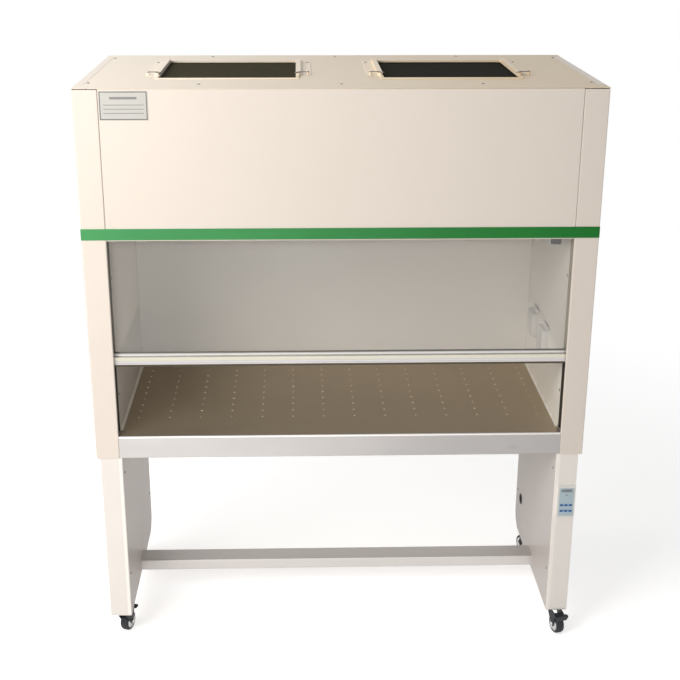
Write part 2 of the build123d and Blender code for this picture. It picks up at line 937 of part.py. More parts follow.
with BuildPart() as lamp_fitting:
    # batten under the front angle
    with BuildSketch(Plane.YZ.offset(-lamp_length / 2 - holder_thickness)):
        with Locations((batten_y, ceiling - batten_height / 2)):
            Rectangle(batten_depth, batten_height)
    extrude(amount=lamp_length + 2 * holder_thickness + batten_extra)
    # a holder at each end of the tubes
    for hand in (-1, 1):
        holder_depth = batten_depth + lamp_pitch + 2 * lamp_radius + 2 * running_gap
        with BuildSketch(Plane.XY.offset(ceiling - holder_height)):
            with Locations(
                (hand * (lamp_length + holder_thickness) / 2, lamp_front + holder_depth / 2)
            ):
                Rectangle(holder_thickness, holder_depth)
        extrude(amount=holder_height)
    # connection block at the right end
    with BuildSketch(Plane.XY.offset(ceiling - block_height)):
        with Locations((lamp_block_x, batten_y)):
            RectangleRounded(block_length, batten_depth - 2 * fit_gap, block_radius)
    extrude(amount=block_height - batten_height / 2)
    # light tube and ultraviolet tube
    with BuildSketch(Plane.YZ.offset(-lamp_length / 2)):
        with Locations((first_lamp_y, lamp_z), (first_lamp_y + lamp_pitch, lamp_z)):
            Circle(lamp_radius)
    extrude(amount=lamp_length)
lamp_fitting.part.label = "lamp_fitting"
export_step(lamp_fitting.part, "parts/lamp_fitting.step")

# ---------------------------------------------------------------- sockets

socket_face = inner - socket_thickness
pin_x = socket_face + lid_pin_inset
pin_z = socket_bottom + socket_size + lid_pin_rise
lug_centre = (lid_barrel_length + lid_lug_length) / 2 + running_gap

with BuildPart() as socket_bases:
    for number in range(2):
        socket_y = socket_first_y + number * socket_pitch
        wall_plane = Plane(
            origin=(inner, socket_y, socket_bottom), x_dir=(0, -1, 0), z_dir=(-1, 0, 0)
        )
        with BuildSketch(wall_plane):
            with Locations((0, socket_size / 2)):
                RectangleRounded(socket_size, socket_size, socket_radius)
        extrude(amount=socket_thickness)
        # recessed socket face
        with BuildSketch(wall_plane.offset(socket_thickness)):
            with Locations((0, socket_size / 2)):
                RectangleRounded(socket_face_size, socket_face_size, socket_radius)
        extrude(amount=-socket_recess, mode=Mode.SUBTRACT)
        # hinge lugs and pin
        for hand in (-1, 1):
            lug_plane = Plane(
                origin=(pin_x, socket_y + hand * lug_centre, pin_z), x_dir=(1, 0, 0), z_dir=(0, -1, 0)
            )
            with BuildSketch(lug_plane.offset(-lid_lug_length / 2)):
                Circle(lid_barrel_radius)
                Rectangle(
                    2 * lid_barrel_radius,
                    lid_pin_rise + lid_lug_bite,
                    align=(Align.CENTER, Align.MAX),
                )
            extrude(amount=lid_lug_length)
        pin_plane = Plane(
            origin=(pin_x, socket_y, pin_z), x_dir=(1, 0, 0), z_dir=(0, -1, 0)
        )
        with BuildSketch(pin_plane.offset(-lug_centre)):
            Circle(lid_pin_radius)
        extrude(amount=2 * lug_centre)
socket_bases.part.label = "socket_bases"
export_step(socket_bases.part, "parts/socket_bases.step")

for number, lid_name in ((0, "front"), (1, "rear")):
    socket_y = socket_first_y + number * socket_pitch
    lid_plane = Plane(
        origin=(socket_face - running_gap, socket_y, socket_bottom),
        x_dir=(0, -1, 0),
        z_dir=(-1, 0, 0),
    )
    lid_size = socket_size - 2 * lid_wall
    with BuildPart() as lid:
        with BuildSketch(lid_plane):
            with Locations((0, socket_size / 2)):
                RectangleRounded(lid_size, lid_size, lid_corner)
        extrude(amount=lid_depth)
        fillet(lid.faces().sort_by(Axis.X)[0].edges(), radius=lid_corner / 2)
        with BuildSketch(lid_plane):
            with Locations((0, socket_size / 2)):
                RectangleRounded(
                    lid_size - 2 * lid_wall, lid_size - 2 * lid_wall, lid_corner - lid_wall
                )
        extrude(amount=lid_depth - lid_wall, mode=Mode.SUBTRACT)
        # hinge barrel on its web
        barrel_plane = Plane(
            origin=(pin_x, socket_y, pin_z), x_dir=(1, 0, 0), z_dir=(0, -1, 0)
        )
        web_low = socket_bottom + socket_size / 2 + lid_size / 2 - lid_wall - pin_z
        web_u = socket_face - running_gap - pin_x
        with BuildSketch(barrel_plane.offset(-lid_barrel_length / 2)):
            with BuildLine():
                Polyline(
                    (-lid_barrel_radius, 0),
                    (web_u - lid_wall, web_low),
                    (web_u, web_low),
                    (web_u, -lid_pin_rise + fit_gap),
                    (0, -lid_barrel_radius),
                    close=True,
                )
            make_face()
            Circle(lid_barrel_radius)
            Circle(lid_pin_radius + clip_slip, mode=Mode.SUBTRACT)
        extrude(amount=lid_barrel_length)
    lid.part.label = f"{lid_name}_socket_lid"
    export_step(lid.part, f"parts/{lid_name}_socket_lid.step")

# ---------------------------------------------------------------- legs

leg_outer = side - leg_inset
leg_inner = leg_outer - leg_width
leg_front = front + leg_setback
leg_back = leg_front + leg_depth
grommet_y = leg_back - grommet_back_margin
leg_height = body_bottom - leg_bottom


def leg_outline(inset):
    """Side outline of a leg with its lower corners rounded, smaller all round by the inset."""
    with BuildSketch() as outline:
        with Locations(((leg_front + leg_back) / 2, leg_bottom + leg_height / 2)):
            Rectangle(leg_depth - 2 * inset, leg_height - 2 * inset)
        low_front = outline.vertices().group_by(Axis.Y)[0].sort_by(Axis.X)[0]
        fillet(low_front, radius=max(leg_front_radius - inset, steel))
        low_rear = outline.vertices().group_by(Axis.X)[-1].sort_by(Axis.Y)[0]
        fillet(low_rear, radius=max(leg_rear_radius - inset, steel))
    return outline.sketch


with BuildPart() as right_leg:
    with BuildSketch(Plane.YZ.offset(leg_inner)):
        add(leg_outline(0))
    extrude(amount=leg_width)
    # hollow inside, open on the inner side within a folded return
    with BuildSketch(Plane.YZ.offset(leg_inner + steel)):
        add(leg_outline(steel))
    extrude(amount=leg_width - 2 * steel, mode=Mode.SUBTRACT)
    with BuildSketch(Plane.YZ.offset(leg_inner)):
        add(leg_outline(leg_return))
    extrude(amount=steel, mode=Mode.SUBTRACT)
right_leg.part.label = "right_leg"
export_step(right_leg.part, "parts/right_leg.step")

with BuildPart() as left_leg:
    mirror(right_leg.part, about=Plane.YZ)
left_leg.part.label = "left_leg"
export_step(left_leg.part, "parts/left_leg.step")

with BuildPart() as leg_covers:
    # the cover sits flush in the return
    with BuildSketch(Plane.YZ.offset(leg_inner)):
        add(leg_outline(leg_return + cover_seam))
    extrude(amount=steel)
    # hole for the cable grommet, in the right one only
    with BuildSketch(Plane.YZ.offset(-leg_inner - steel)):
        add(leg_outline(leg_return + cover_seam))
    extrude(amount=steel)
    with BuildSketch(Plane.YZ.offset(leg_inner)):
        with Locations((grommet_y, grommet_z)):
            Circle(grommet_body)
    extrude(amount=steel, mode=Mode.SUBTRACT)
leg_covers.part.label = "leg_covers"
export_step(leg_covers.part, "parts/leg_covers.step")

with BuildPart() as cable_grommet:
    with BuildSketch(Plane.YZ.offset(leg_inner - grommet_flange_height)):
        with Locations((grommet_y, grommet_z)):
            Circle(grommet_flange)
    extrude(amount=grommet_flange_height)
    fillet(cable_grommet.faces().sort_by(Axis.X)[0].edges(), radius=grommet_flange_height / 2)
    with BuildSketch(Plane.YZ.offset(leg_inner)):
        with Locations((grommet_y, grommet_z)):
            Circle(grommet_body)
    extrude(amount=grommet_length - grommet_flange_height)
    with BuildSketch(Plane.YZ.offset(leg_inner - grommet_flange_height)):
        with Locations((grommet_y, grommet_z)):
            Circle(grommet_bore)
    extrude(amount=grommet_length, mode=Mode.SUBTRACT)
cable_grommet.part.label = "cable_grommet"
export_step(cable_grommet.part, "parts/cable_grommet.step")

stretcher_y = front + stretcher_setback + stretcher_depth / 2
stretcher_z = leg_bottom + stretcher_lift + stretcher_height / 2
with BuildPart() as stretcher_bar:
    with BuildSketch(Plane.YZ.offset(-leg_inner)):
        with Locations(
            (stretcher_y, stretcher_z)
        ):
            RectangleRounded(stretcher_depth, stretcher_height, stretcher_radius)
            RectangleRounded(
                stretcher_depth - 2 * stretcher_wall,
                stretcher_height - 2 * stretcher_wall,
                stretcher_radius - stretcher_wall,
                mode=Mode.SUBTRACT,
            )
    extrude(amount=2 * leg_inner)
stretcher_bar.part.label = "stretcher_bar"
export_step(stretcher_bar.part, "parts/stretcher_bar.step")

# ---------------------------------------------------------------- control panel and keys

panel_x = leg_outer - panel_width / 2
panel_front = leg_front - panel_depth
key_pocket = panel_depth - panel_back
panel_plane = Plane(origin=(panel_x, panel_front, 0), x_dir=(1, 0, 0), z_dir=(0, 1, 0))


def key_places():
    """Centres of the keys in the panel's own plane, row by row."""
    return [
        (column * key_pitch, -key_z) for key_z in key_rows_z for column in (-1, 0, 1)
    ]


with BuildPart() as control_panel:
    # bezel
    with BuildSketch(panel_plane):
        with Locations((0, -panel_bottom - panel_height / 2)):
            RectangleRounded(panel_width, panel_height, panel_radius)
    extrude(amount=panel_depth)
    # overlay
    with BuildSketch(panel_plane.offset(-overlay_thickness)):
        with Locations((0, -overlay_bottom - overlay_height / 2)):
            Rectangle(overlay_width, overlay_height)
    extrude(amount=overlay_thickness)
    with BuildSketch(panel_plane.offset(-overlay_thickness)):
        with Locations((0, -window_z)):
            Rectangle(window_width, window_height)
    extrude(amount=window_depth, mode=Mode.SUBTRACT)
    # a pocket for each key
    with BuildSketch(panel_plane.offset(-overlay_thickness)):
        with Locations(*key_places()):
            Rectangle(key_width + 2 * key_slip, key_height + 2 * key_slip)
    extrude(amount=overlay_thickness + key_pocket, mode=Mode.SUBTRACT)
control_panel.part.label = "control_panel"
export_step(control_panel.part, "parts/control_panel.step")

key_length = overlay_thickness + key_rise + key_pocket - key_travel - key_back_gap
for number, (key_u, key_v) in enumerate(key_places(), start=1):
    with BuildPart() as key:
        with BuildSketch(panel_plane.offset(-overlay_thickness - key_rise)):
            with Locations((key_u, key_v)):
                RectangleRounded(key_width, key_height, key_radius)
        extrude(amount=key_length)
    key.part.label = f"key_{number}"
    export_step(key.part, f"parts/key_{number}.step")

# ---------------------------------------------------------------- casters

caster_x = leg_outer - leg_width / 2
plate_bottom = leg_bottom - caster_plate_thickness
race_bottom = plate_bottom - race_height
fork_top = race_bottom - running_gap
fork_under = fork_top - fork_top_thickness
head_top = fork_under - running_gap
caster_places = (
    ("left_front", -caster_x, caster_front_y, 1, left_front_turn),
    ("right_front", caster_x, caster_front_y, -1, right_front_turn),
    ("left_rear", -caster_x, caster_rear_y, 1, left_rear_turn),
    ("right_rear", caster_x, caster_rear_y, 1, right_rear_turn),
)

with BuildPart() as caster_plates:
    for _, x, y, _, _ in caster_places:
        with BuildSketch(Plane.XY.offset(plate_bottom)):
            with Locations((x, y)):
                RectangleRounded(caster_plate_x, caster_plate_y, bend_radius)
        extrude(amount=caster_plate_thickness)
        # bolt heads under the corners of the plate
        with BuildSketch(Plane.XY.offset(plate_bottom)):
            with Locations((x, y)):
                with GridLocations(2 * plate_bolt_x, 2 * plate_bolt_y, 2, 2):
                    RegularPolygon(plate_bolt_radius, 6)
        extrude(amount=-plate_bolt_height)
        with BuildSketch(Plane.XY.offset(race_bottom)):
            with Locations((x, y)):
                Circle(race_radius)
        extrude(amount=race_height)
        with BuildSketch(Plane.XY.offset(head_top)):
            with Locations((x, y)):
                Circle(king_pin_radius)
        extrude(amount=race_bottom - head_top)
        with BuildSketch(Plane.XY.offset(head_top - king_head_height)):
            with Locations((x, y)):
                Circle(king_head_radius)
        extrude(amount=king_head_height)
caster_plates.part.label = "caster_plates"
export_step(caster_plates.part, "parts/caster_plates.step")

cheek_inner = fork_gap / 2

for caster_name, x, y, trail_sign, turn in caster_places:
    has_brake = caster_name.endswith("front")
    # each caster is drawn in line with the bench, then turned about its swivel
    swivel = Axis((x, y, 0), (0, 0, 1))
    cheek_plane = Plane(origin=(x, y, 0), x_dir=(0, trail_sign, 0), z_dir=(trail_sign, 0, 0))

    with BuildPart() as fork:
        with BuildSketch(Plane((x, y, fork_under))):
            Circle(race_radius)
            Rectangle(fork_gap + 2 * fork_cheek, fork_top_length)
        extrude(amount=fork_top_thickness)
        for hand in (-1, 1):
            start = cheek_inner if hand > 0 else -cheek_inner - fork_cheek
            with BuildSketch(cheek_plane.offset(start)):
                with BuildSketch(mode=Mode.PRIVATE) as cheek:
                    with Locations((0, fork_under)):
                        Rectangle(
                            fork_top_length,
                            fork_top_thickness,
                            align=(Align.CENTER, Align.MIN),
                        )
                    with Locations((caster_trail, wheel_radius)):
                        Circle(fork_boss)
                    if has_brake:
                        with Locations((pedal_pivot_y, pedal_pivot_z)):
                            Circle(pedal_ear_radius)
                    make_hull()
                add(cheek.sketch)
            extrude(amount=fork_cheek)
        # axle, and the pin of the brake pedal
        with BuildSketch(cheek_plane.offset(-cheek_inner - fork_cheek)):
            with Locations((caster_trail, wheel_radius)):
                Circle(axle_radius)
            if has_brake:
                with Locations((pedal_pivot_y, pedal_pivot_z)):
                    Circle(pedal_pin_radius)
        extrude(amount=fork_gap + 2 * fork_cheek)
        with BuildSketch(Plane((x, y, fork_under))):
            Circle(king_pin_radius + king_pin_slip)
        extrude(amount=fork_top_thickness, mode=Mode.SUBTRACT)
    fork.part = fork.part.rotate(swivel, turn)
    fork.part.label = f"{caster_name}_fork"
    export_step(fork.part, f"parts/{caster_name}_fork.step")

    with BuildPart() as wheel:
        wheel_y = y + trail_sign * caster_trail
        wheel_plane = Plane(origin=(x, wheel_y, wheel_radius), x_dir=(0, 0, 1), z_dir=(0, 1, 0))
        hub_half = cheek_inner - running_gap
        # half section turned about the axle: tyre, recessed rim and hub
        with BuildSketch(wheel_plane) as half_section:
            with BuildLine():
                Polyline(
                    (0, -hub_half),
                    (wheel_hub_radius, -hub_half),
                    (wheel_hub_radius, -wheel_width / 2 + wheel_rim_recess),
                    (wheel_rim_radius, -wheel_width / 2 + wheel_rim_recess),
                    (wheel_rim_radius, -wheel_width / 2),
                    (wheel_radius, -wheel_width / 2),
                    (wheel_radius, wheel_width / 2),
                    (wheel_rim_radius, wheel_width / 2),
                    (wheel_rim_radius, wheel_width / 2 - wheel_rim_recess),
                    (wheel_hub_radius, wheel_width / 2 - wheel_rim_recess),
                    (wheel_hub_radius, hub_half),
                    (0, hub_half),
                    close=True,
                )
            make_face()
            fillet(half_section.vertices().group_by(Axis.X)[-1], radius=wheel_round)
        revolve(axis=Axis((x, wheel_y, wheel_radius), (1, 0, 0)))
        with BuildSketch(Plane.YZ.offset(x - cheek_inner)):
            with Locations((wheel_y, wheel_radius)):
                Circle(axle_radius + axle_slip)
        extrude(amount=fork_gap, mode=Mode.SUBTRACT)
    wheel.part = wheel.part.rotate(swivel, turn)
    wheel.part.label = f"{caster_name}_wheel"
    export_step(wheel.part, f"parts/{caster_name}_wheel.step")

    if has_brake:
        with BuildPart() as pedal:
            pivot_plane = Plane(
                origin=(x, y + trail_sign * pedal_pivot_y, pedal_pivot_z),
                x_dir=(0, trail_sign, 0),
                z_dir=(trail_sign, 0, 0),
            )
            barrel_half = cheek_inner - running_gap
            tilt = math.radians(pedal_tilt)
            lip_out = pedal_reach * math.cos(tilt)
            lip_top = pedal_reach * math.sin(tilt) + pedal_thickness / 2
            with BuildSketch(pivot_plane.offset(-barrel_half)):
                Circle(pedal_barrel_radius)
                with Locations(Rotation(0, 0, pedal_tilt)):
                    Rectangle(
                        pedal_pad_start, pedal_thickness, align=(Align.MIN, Align.CENTER)
                    )
            extrude(amount=2 * barrel_half)
            # pad beyond the fork, with ribs across it
            with BuildSketch(pivot_plane.offset(-pedal_width / 2)):
                with Locations(Rotation(0, 0, pedal_tilt)):
                    with Locations((pedal_pad_start, 0)):
                        Rectangle(
                            pedal_reach - pedal_pad_start,
                            pedal_thickness,
                            align=(Align.MIN, Align.CENTER),
                        )
                    for rib in range(pedal_ribs):
                        rib_u = pedal_reach - pedal_rib_margin - pedal_rib - rib * pedal_rib_pitch
                        with Locations((rib_u, pedal_thickness / 2)):
                            Rectangle(2 * pedal_rib, 2 * pedal_rib)
                # lip turned down in front of the tyre
                with Locations((lip_out, lip_top)):
                    RectangleRounded(
                        pedal_lip_thickness,
                        pedal_lip_drop,
                        pedal_lip_thickness / 2 - fit_gap / 2,
                        align=(Align.MAX, Align.MAX),
                    )
            extrude(amount=pedal_width)
            # sides of the lip drawn in towards the tyre
            with BuildSketch(Plane.XZ.offset(-y)):
                for hand in (-1, 1):
                    edge = x + hand * pedal_width / 2
                    low_edge = x + hand * pedal_lip_low_width / 2
                    shoulder_z = pedal_pivot_z + lip_top - pedal_lip_shoulder
                    lip_bottom_z = pedal_pivot_z + lip_top - pedal_lip_drop
                    with BuildLine():
                        Polyline(
                            (edge, shoulder_z),
                            (edge + hand, lip_bottom_z - 1),
                            (low_edge, lip_bottom_z - 1),
                            (low_edge, lip_bottom_z),
                            close=True,
                        )
                    make_face()
            extrude(amount=2 * pedal_pivot_y + 2 * pedal_reach, both=True, mode=Mode.SUBTRACT)
            with BuildSketch(pivot_plane.offset(-barrel_half)):
                Circle(pedal_pin_radius + axle_slip)
            extrude(amount=2 * barrel_half, mode=Mode.SUBTRACT)
        pedal.part = pedal.part.rotate(swivel, turn)
        pedal.part.label = f"{caster_name}_pedal"
        export_step(pedal.part, f"parts/{caster_name}_pedal.step")

# ---------------------------------------------------------------- small screws

corner_screw_x = side - corner_screw_inset
liner_screw_y = guide_back + liner_screw_setback
leg_front_screw_y = leg_front + leg_screw_front_setback
leg_rear_screw_y = leg_back - leg_screw_rear_setback


def screw_planes():
    """A plane on the surface under each screw head, facing the way the head points."""
    places = []
    for x in (-cover_screw_x, 0, cover_screw_x):
        for y in (front + cover_screw_front_setback, rear - cover_screw_rear_setback):
            places.append(Plane((x, y, body_top)))
    for x in (-corner_screw_x, corner_screw_x):
        for y in (front + corner_screw_front_setback, rear - corner_screw_rear_setback):
            places.append(Plane((x, y, body_top)))
    for hand in (-1, 1):
        leg_places = [(leg_front_screw_y, z) for z in leg_screw_heights]
        for y, z in (*leg_places, (leg_rear_screw_y, leg_rear_screw_z)):
            places.append(Plane(origin=(hand * leg_inner, y, z), z_dir=(-hand, 0, 0)))
        for z in liner_screw_heights:
            places.append(Plane(origin=(hand * inner, liner_screw_y, z), z_dir=(-hand, 0, 0)))
    # rear screws of the intake plates
    for hand in (-1, 1):
        for edge in (-1, 1):
            x = hand * intake_x + edge * (intake_width / 2 + clip_offset)
            places.append(Plane((x, intake_y + intake_depth / 2 - side_plate_width, plate_top)))
    return places


with BuildPart() as panel_screws:
    for place in screw_planes():
        with BuildSketch(place):
            Circle(screw_radius)
        with BuildSketch(place.offset(screw_height)):
            Circle(screw_top_radius)
        loft()
panel_screws.part.label = "panel_screws"
export_step(panel_screws.part, "parts/panel_screws.step")
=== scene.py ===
"""Looks of a vertical laminar flow clean bench: finishes, small fittings and the studio."""

import json
import math

import bmesh
import bpy
import numpy as np
from mathutils import Matrix, Vector

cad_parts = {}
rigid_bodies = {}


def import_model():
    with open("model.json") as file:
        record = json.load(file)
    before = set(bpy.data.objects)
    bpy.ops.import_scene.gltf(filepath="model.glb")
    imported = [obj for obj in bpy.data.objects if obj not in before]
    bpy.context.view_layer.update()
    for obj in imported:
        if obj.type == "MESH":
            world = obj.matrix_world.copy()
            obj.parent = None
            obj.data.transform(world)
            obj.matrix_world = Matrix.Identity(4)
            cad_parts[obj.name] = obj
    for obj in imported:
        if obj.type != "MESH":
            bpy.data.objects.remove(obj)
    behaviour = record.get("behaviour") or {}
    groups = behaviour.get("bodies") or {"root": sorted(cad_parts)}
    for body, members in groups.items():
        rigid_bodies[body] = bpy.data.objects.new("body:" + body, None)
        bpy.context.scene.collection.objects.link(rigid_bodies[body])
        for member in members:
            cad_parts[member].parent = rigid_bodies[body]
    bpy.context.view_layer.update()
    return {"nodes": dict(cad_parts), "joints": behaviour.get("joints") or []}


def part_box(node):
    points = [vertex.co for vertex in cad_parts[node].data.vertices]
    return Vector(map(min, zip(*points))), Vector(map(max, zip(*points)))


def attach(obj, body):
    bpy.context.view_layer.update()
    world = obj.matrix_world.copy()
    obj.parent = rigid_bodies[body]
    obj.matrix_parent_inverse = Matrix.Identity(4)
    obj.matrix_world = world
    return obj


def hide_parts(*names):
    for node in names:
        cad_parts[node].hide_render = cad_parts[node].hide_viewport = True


bl_info = {
    "name": "Clean bench looks",
    "version": (1, 0, 0),
    "blender": (4, 5, 0),
    "location": "3D Viewport > Sidebar > Bench",
    "description": "Finishes, fittings and studio for a laminar flow clean bench",
    "category": "Object",
}

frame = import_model()
nodes = frame["nodes"]


def span(node):
    """Lowest and highest corner of a CAD node, as numpy arrays."""
    low, high = (np.array(corner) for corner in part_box(node))
    return low, high


glass_low, glass_high = span("sash_glass")
rail_low, rail_high = span("sash_rail")
trim_high = span("trim_strip")[1]
plate_low, plate_high = span("nameplate")
panel_low, panel_high = span("control_panel")
worktop_low, worktop_high = span("worktop")
guide_high = span("sash_guides")[1]
liner_low = span("right_liner")[0]
stretcher_high = span("stretcher_bar")[1]

# hole pattern of the worktop in metres: pitch across and along, middle of the rows, reach from
# the middle in x and in y, and the radius of the painted highlight round each hole
WORKTOP_HOLES = (0.0975, 0.0508, 0.0016, 0.65, 0.236, 0.0037)

# where the lamp fitting's dark block begins: beyond this x and below this z, in metres
LAMP_BLOCK = (0.62, 1.331)

# the floor's shadow fades out between these squared distances from the middle, in square metres,
# and this much plain light is added to it, which keeps it faint
SHADOW_FADE, SHADOW_LIFT = (1.4, 9.0), 0.58

# each soft box: name, place, target, side and colour; its power is one of the bench's sizes
LAMPS = (
    ("key", (-2.1, -2.6, 2.6), (-0.5, 0, 1.0), 1.8, (1.0, 0.985, 0.96)),
    ("fill", (0.4, -3.9, 1.2), (0, 0, 1.0), 2.0, (0.97, 0.98, 1.0)),
    ("top", (-1.9, 0.2, 3.0), (0, 0, 1.7), 1.6, (1.0, 0.98, 0.94)),
)

# the camera: film width and lens in millimetres, shift in film widths, the directions of its
# right, its up and its back, and its place in metres
FILM_WIDTH, LENS, LENS_SHIFT = 36, 65.164, (0.01127, 0.00436)
CAMERA_AXES = (
    (0.99960019, -0.0282042, 0.00199579),
    (0.00776571, 0.3417287, 0.93976656),
    (-0.02718738, -0.93937533, 0.3418111),
)
CAMERA_PLACE = (-0.12614, -3.82343, 2.2778)


# ---------------------------------------------------------------- shader maths


class Wire:
    """One output socket. Python operators on it add Math nodes."""

    def __init__(self, finish, socket):
        self.finish = finish
        self.socket = socket

    def math(self, operation, first, second=None):
        values = {0: first} if second is None else {0: first, 1: second}
        return self.finish.node("ShaderNodeMath", {"operation": operation}, values)

    def __add__(self, other):
        return self.math("ADD", self, other)

    def __radd__(self, other):
        return self.math("ADD", other, self)

    def __sub__(self, other):
        return self.math("SUBTRACT", self, other)

    def __rsub__(self, other):
        return self.math("SUBTRACT", other, self)

    def __mul__(self, other):
        return self.math("MULTIPLY", self, other)

    def __rmul__(self, other):
        return self.math("MULTIPLY", other, self)

    def __truediv__(self, other):
        return self.math("DIVIDE", self, other)

    def __gt__(self, other):
        return self.math("GREATER_THAN", self, other)

    def __lt__(self, other):
        return self.math("LESS_THAN", self, other)

    def __abs__(self):
        return self.math("ABSOLUTE", self)

    def either(self, other):
        """The larger of two masks."""
        return self.math("MAXIMUM", self, other)

    def within(self, middle, half):
        """1 where the value lies within half of the middle."""
        return abs(self - middle) < half

    def root(self):
        """Square root."""
        return self.math("SQRT", self)

    def fold(self, period):
        """Distance from the nearest multiple of the period."""
        return abs(self.math("PINGPONG", self, period / 2))

    def smooth(self, low, high):
        """0 below low, 1 above high, eased between."""
        eased = {"interpolation_type": "SMOOTHSTEP"}
        return self.finish.node("ShaderNodeMapRange", eased, {0: self, 1: low, 2: high})


class Finish:
    """One procedural material, built node by node on Object coordinates."""

    def __init__(self, name, owner=None):
        self.material = owner or bpy.data.materials.new(name)
        self.material.use_nodes = True
        self.tree = self.material.node_tree
        self.tree.nodes.clear()
        if owner is None:
            self.place = self.node("ShaderNodeTexCoord", output="Object")

    def node(self, kind, settings=None, values=None, output=0):
        """Adds a node: its settings first, then numbers or links into its sockets."""
        made = self.tree.nodes.new(kind)
        for key, value in (settings or {}).items():
            setattr(made, key, value)
        for key, value in (values or {}).items():
            if isinstance(value, Wire):
                self.tree.links.new(value.socket, made.inputs[key])
                continue
            if made.inputs[key].type == "RGBA" and len(value) == 3:
                value = (*value, 1)
            made.inputs[key].default_value = value
        if not made.outputs:
            return made
        return Wire(self, made.outputs[output])

    def axes(self):
        """The three Object coordinates, in metres."""
        first = self.node("ShaderNodeSeparateXYZ", None, {0: self.place})
        return [Wire(self, out) for out in first.socket.node.outputs]

    def noise(self, scale, detail=3.0, stretch=(1, 1, 1), roughness=0.5):
        """Cloudy value from 0 to 1; stretch below 1 draws it out along that axis."""
        where = self.place
        if stretch != (1, 1, 1):
            where = self.node("ShaderNodeMapping", None, {"Vector": self.place, "Scale": stretch})
        values = {"Vector": where, "Scale": scale, "Detail": detail, "Roughness": roughness}
        return self.node("ShaderNodeTexNoise", None, values)

    def cells(self, scale):
        """Patches with straight sides, each of one random colour."""
        values = {"Vector": self.place, "Scale": scale}
        return self.node("ShaderNodeTexVoronoi", {"feature": "F1"}, values, "Color")

    def mix(self, factor, first, second):
        """Colour mix: first where the factor is 0, second where it is 1."""
        values = {0: factor, 6: first, 7: second}
        return self.node("ShaderNodeMix", {"data_type": "RGBA"}, values, 2)

    def bump(self, height, distance, strength, normal=None):
        """Normal of fine relief: a height from 0 to 1 times the distance in metres."""
        values = {"Height": height, "Distance": distance, "Strength": strength}
        if normal is not None:
            values["Normal"] = normal
        return self.node("ShaderNodeBump", None, values)

    def rounded(self, radius):
        """Normal of an edge eased over by the radius."""
        return self.node("ShaderNodeBevel", {"samples": 4}, {"Radius": radius})

    def surface(self, **sockets):
        """Ends the material in one Principled shader; names use _ for a space."""
        values = {key.replace("_", " "): value for key, value in sockets.items()}
        shader = self.node("ShaderNodeBsdfPrincipled", None, values)
        self.node("ShaderNodeOutputMaterial", None, {"Surface": shader})
        return self.material


def rgb(value):
    """A colour property as a plain tuple."""
    return tuple(value)[:3]


def shade(colour, factor):
    """The colour with each channel times the factor."""
    return tuple(channel * factor for channel in colour)


# ---------------------------------------------------------------- finishes


def enamel_finish(name, colour, gloss, far=None, painted_tone_below=None, level=0.0, inner=None):
    """Sprayed enamel on sheet steel: fine orange peel, faint clouds, edges eased by the paint.

    far is the tone it turns to along +X; on the body panels it is painted shade where the light
    falls off. The tone given for below the height level is painted light or shade on the liners.
    For a leg, inner gives its inner face's distance from the middle, its front and that face's
    tone, which is painted shade; the fold between the two faces gets a painted highlight."""
    f = Finish(name)
    x, y, z = f.axes()
    peel = f.noise(260, 2)
    clouds = f.noise(1.7, 4)
    dust = f.noise(9, 5, roughness=0.7)
    tint = f.mix(clouds.smooth(0.3, 0.7), shade(colour, 0.975), colour)
    yellowed = (colour[0] * 0.99, colour[1] * 0.955, colour[2] * 0.91)
    tint = f.mix(dust.smooth(0.55, 0.85) * 0.25, tint, yellowed)
    if far:
        tint = f.mix(x.smooth(-0.8, 0.8), tint, far)
    # painted light or shade below the height level
    if painted_tone_below:
        tint = f.mix(1 - z.smooth(level - 0.02, level + 0.02), tint, painted_tone_below)
    if inner:
        face, front, tone = inner
        fold = front + 0.012
        # painted highlight along the fold at the front of the leg's inner face, and painted shade
        # over the inner face behind it
        tint = f.mix((abs(x) < face + 0.010) * (y < fold), tint, shade(colour, 1.12))
        tint = f.mix((abs(x) < face + 0.0012) * (y > fold), tint, tone)
    rough = 0.42 + dust * 0.12 - gloss * 0.1
    normal = f.bump(peel, 0.0001, 0.16, f.rounded(0.0012))
    return f.surface(
        Base_Color=tint, Roughness=rough, Normal=normal, Coat_Weight=0.12, Coat_Roughness=0.25
    )


def brushed_finish(name, colour, dark, grain, rough, along=(0.02, 1, 1)):
    """Steel or aluminium with a grain of fine scratches along one axis."""
    f = Finish(name)
    hair = f.noise(grain, 4, along, 0.65)
    clouds = f.noise(2.6, 3)
    tone = f.mix(hair.smooth(0.25, 0.75), dark, colour)
    tone = f.mix(clouds.smooth(0.35, 0.75) * 0.5, tone, shade(colour, 1.08))
    roughness = rough + hair * 0.12 - 0.06 + clouds * 0.06
    return f.surface(
        Base_Color=tone,
        Metallic=1.0,
        Roughness=roughness,
        Normal=f.bump(hair, 0.00012, 0.4, f.rounded(0.0008)),
    )


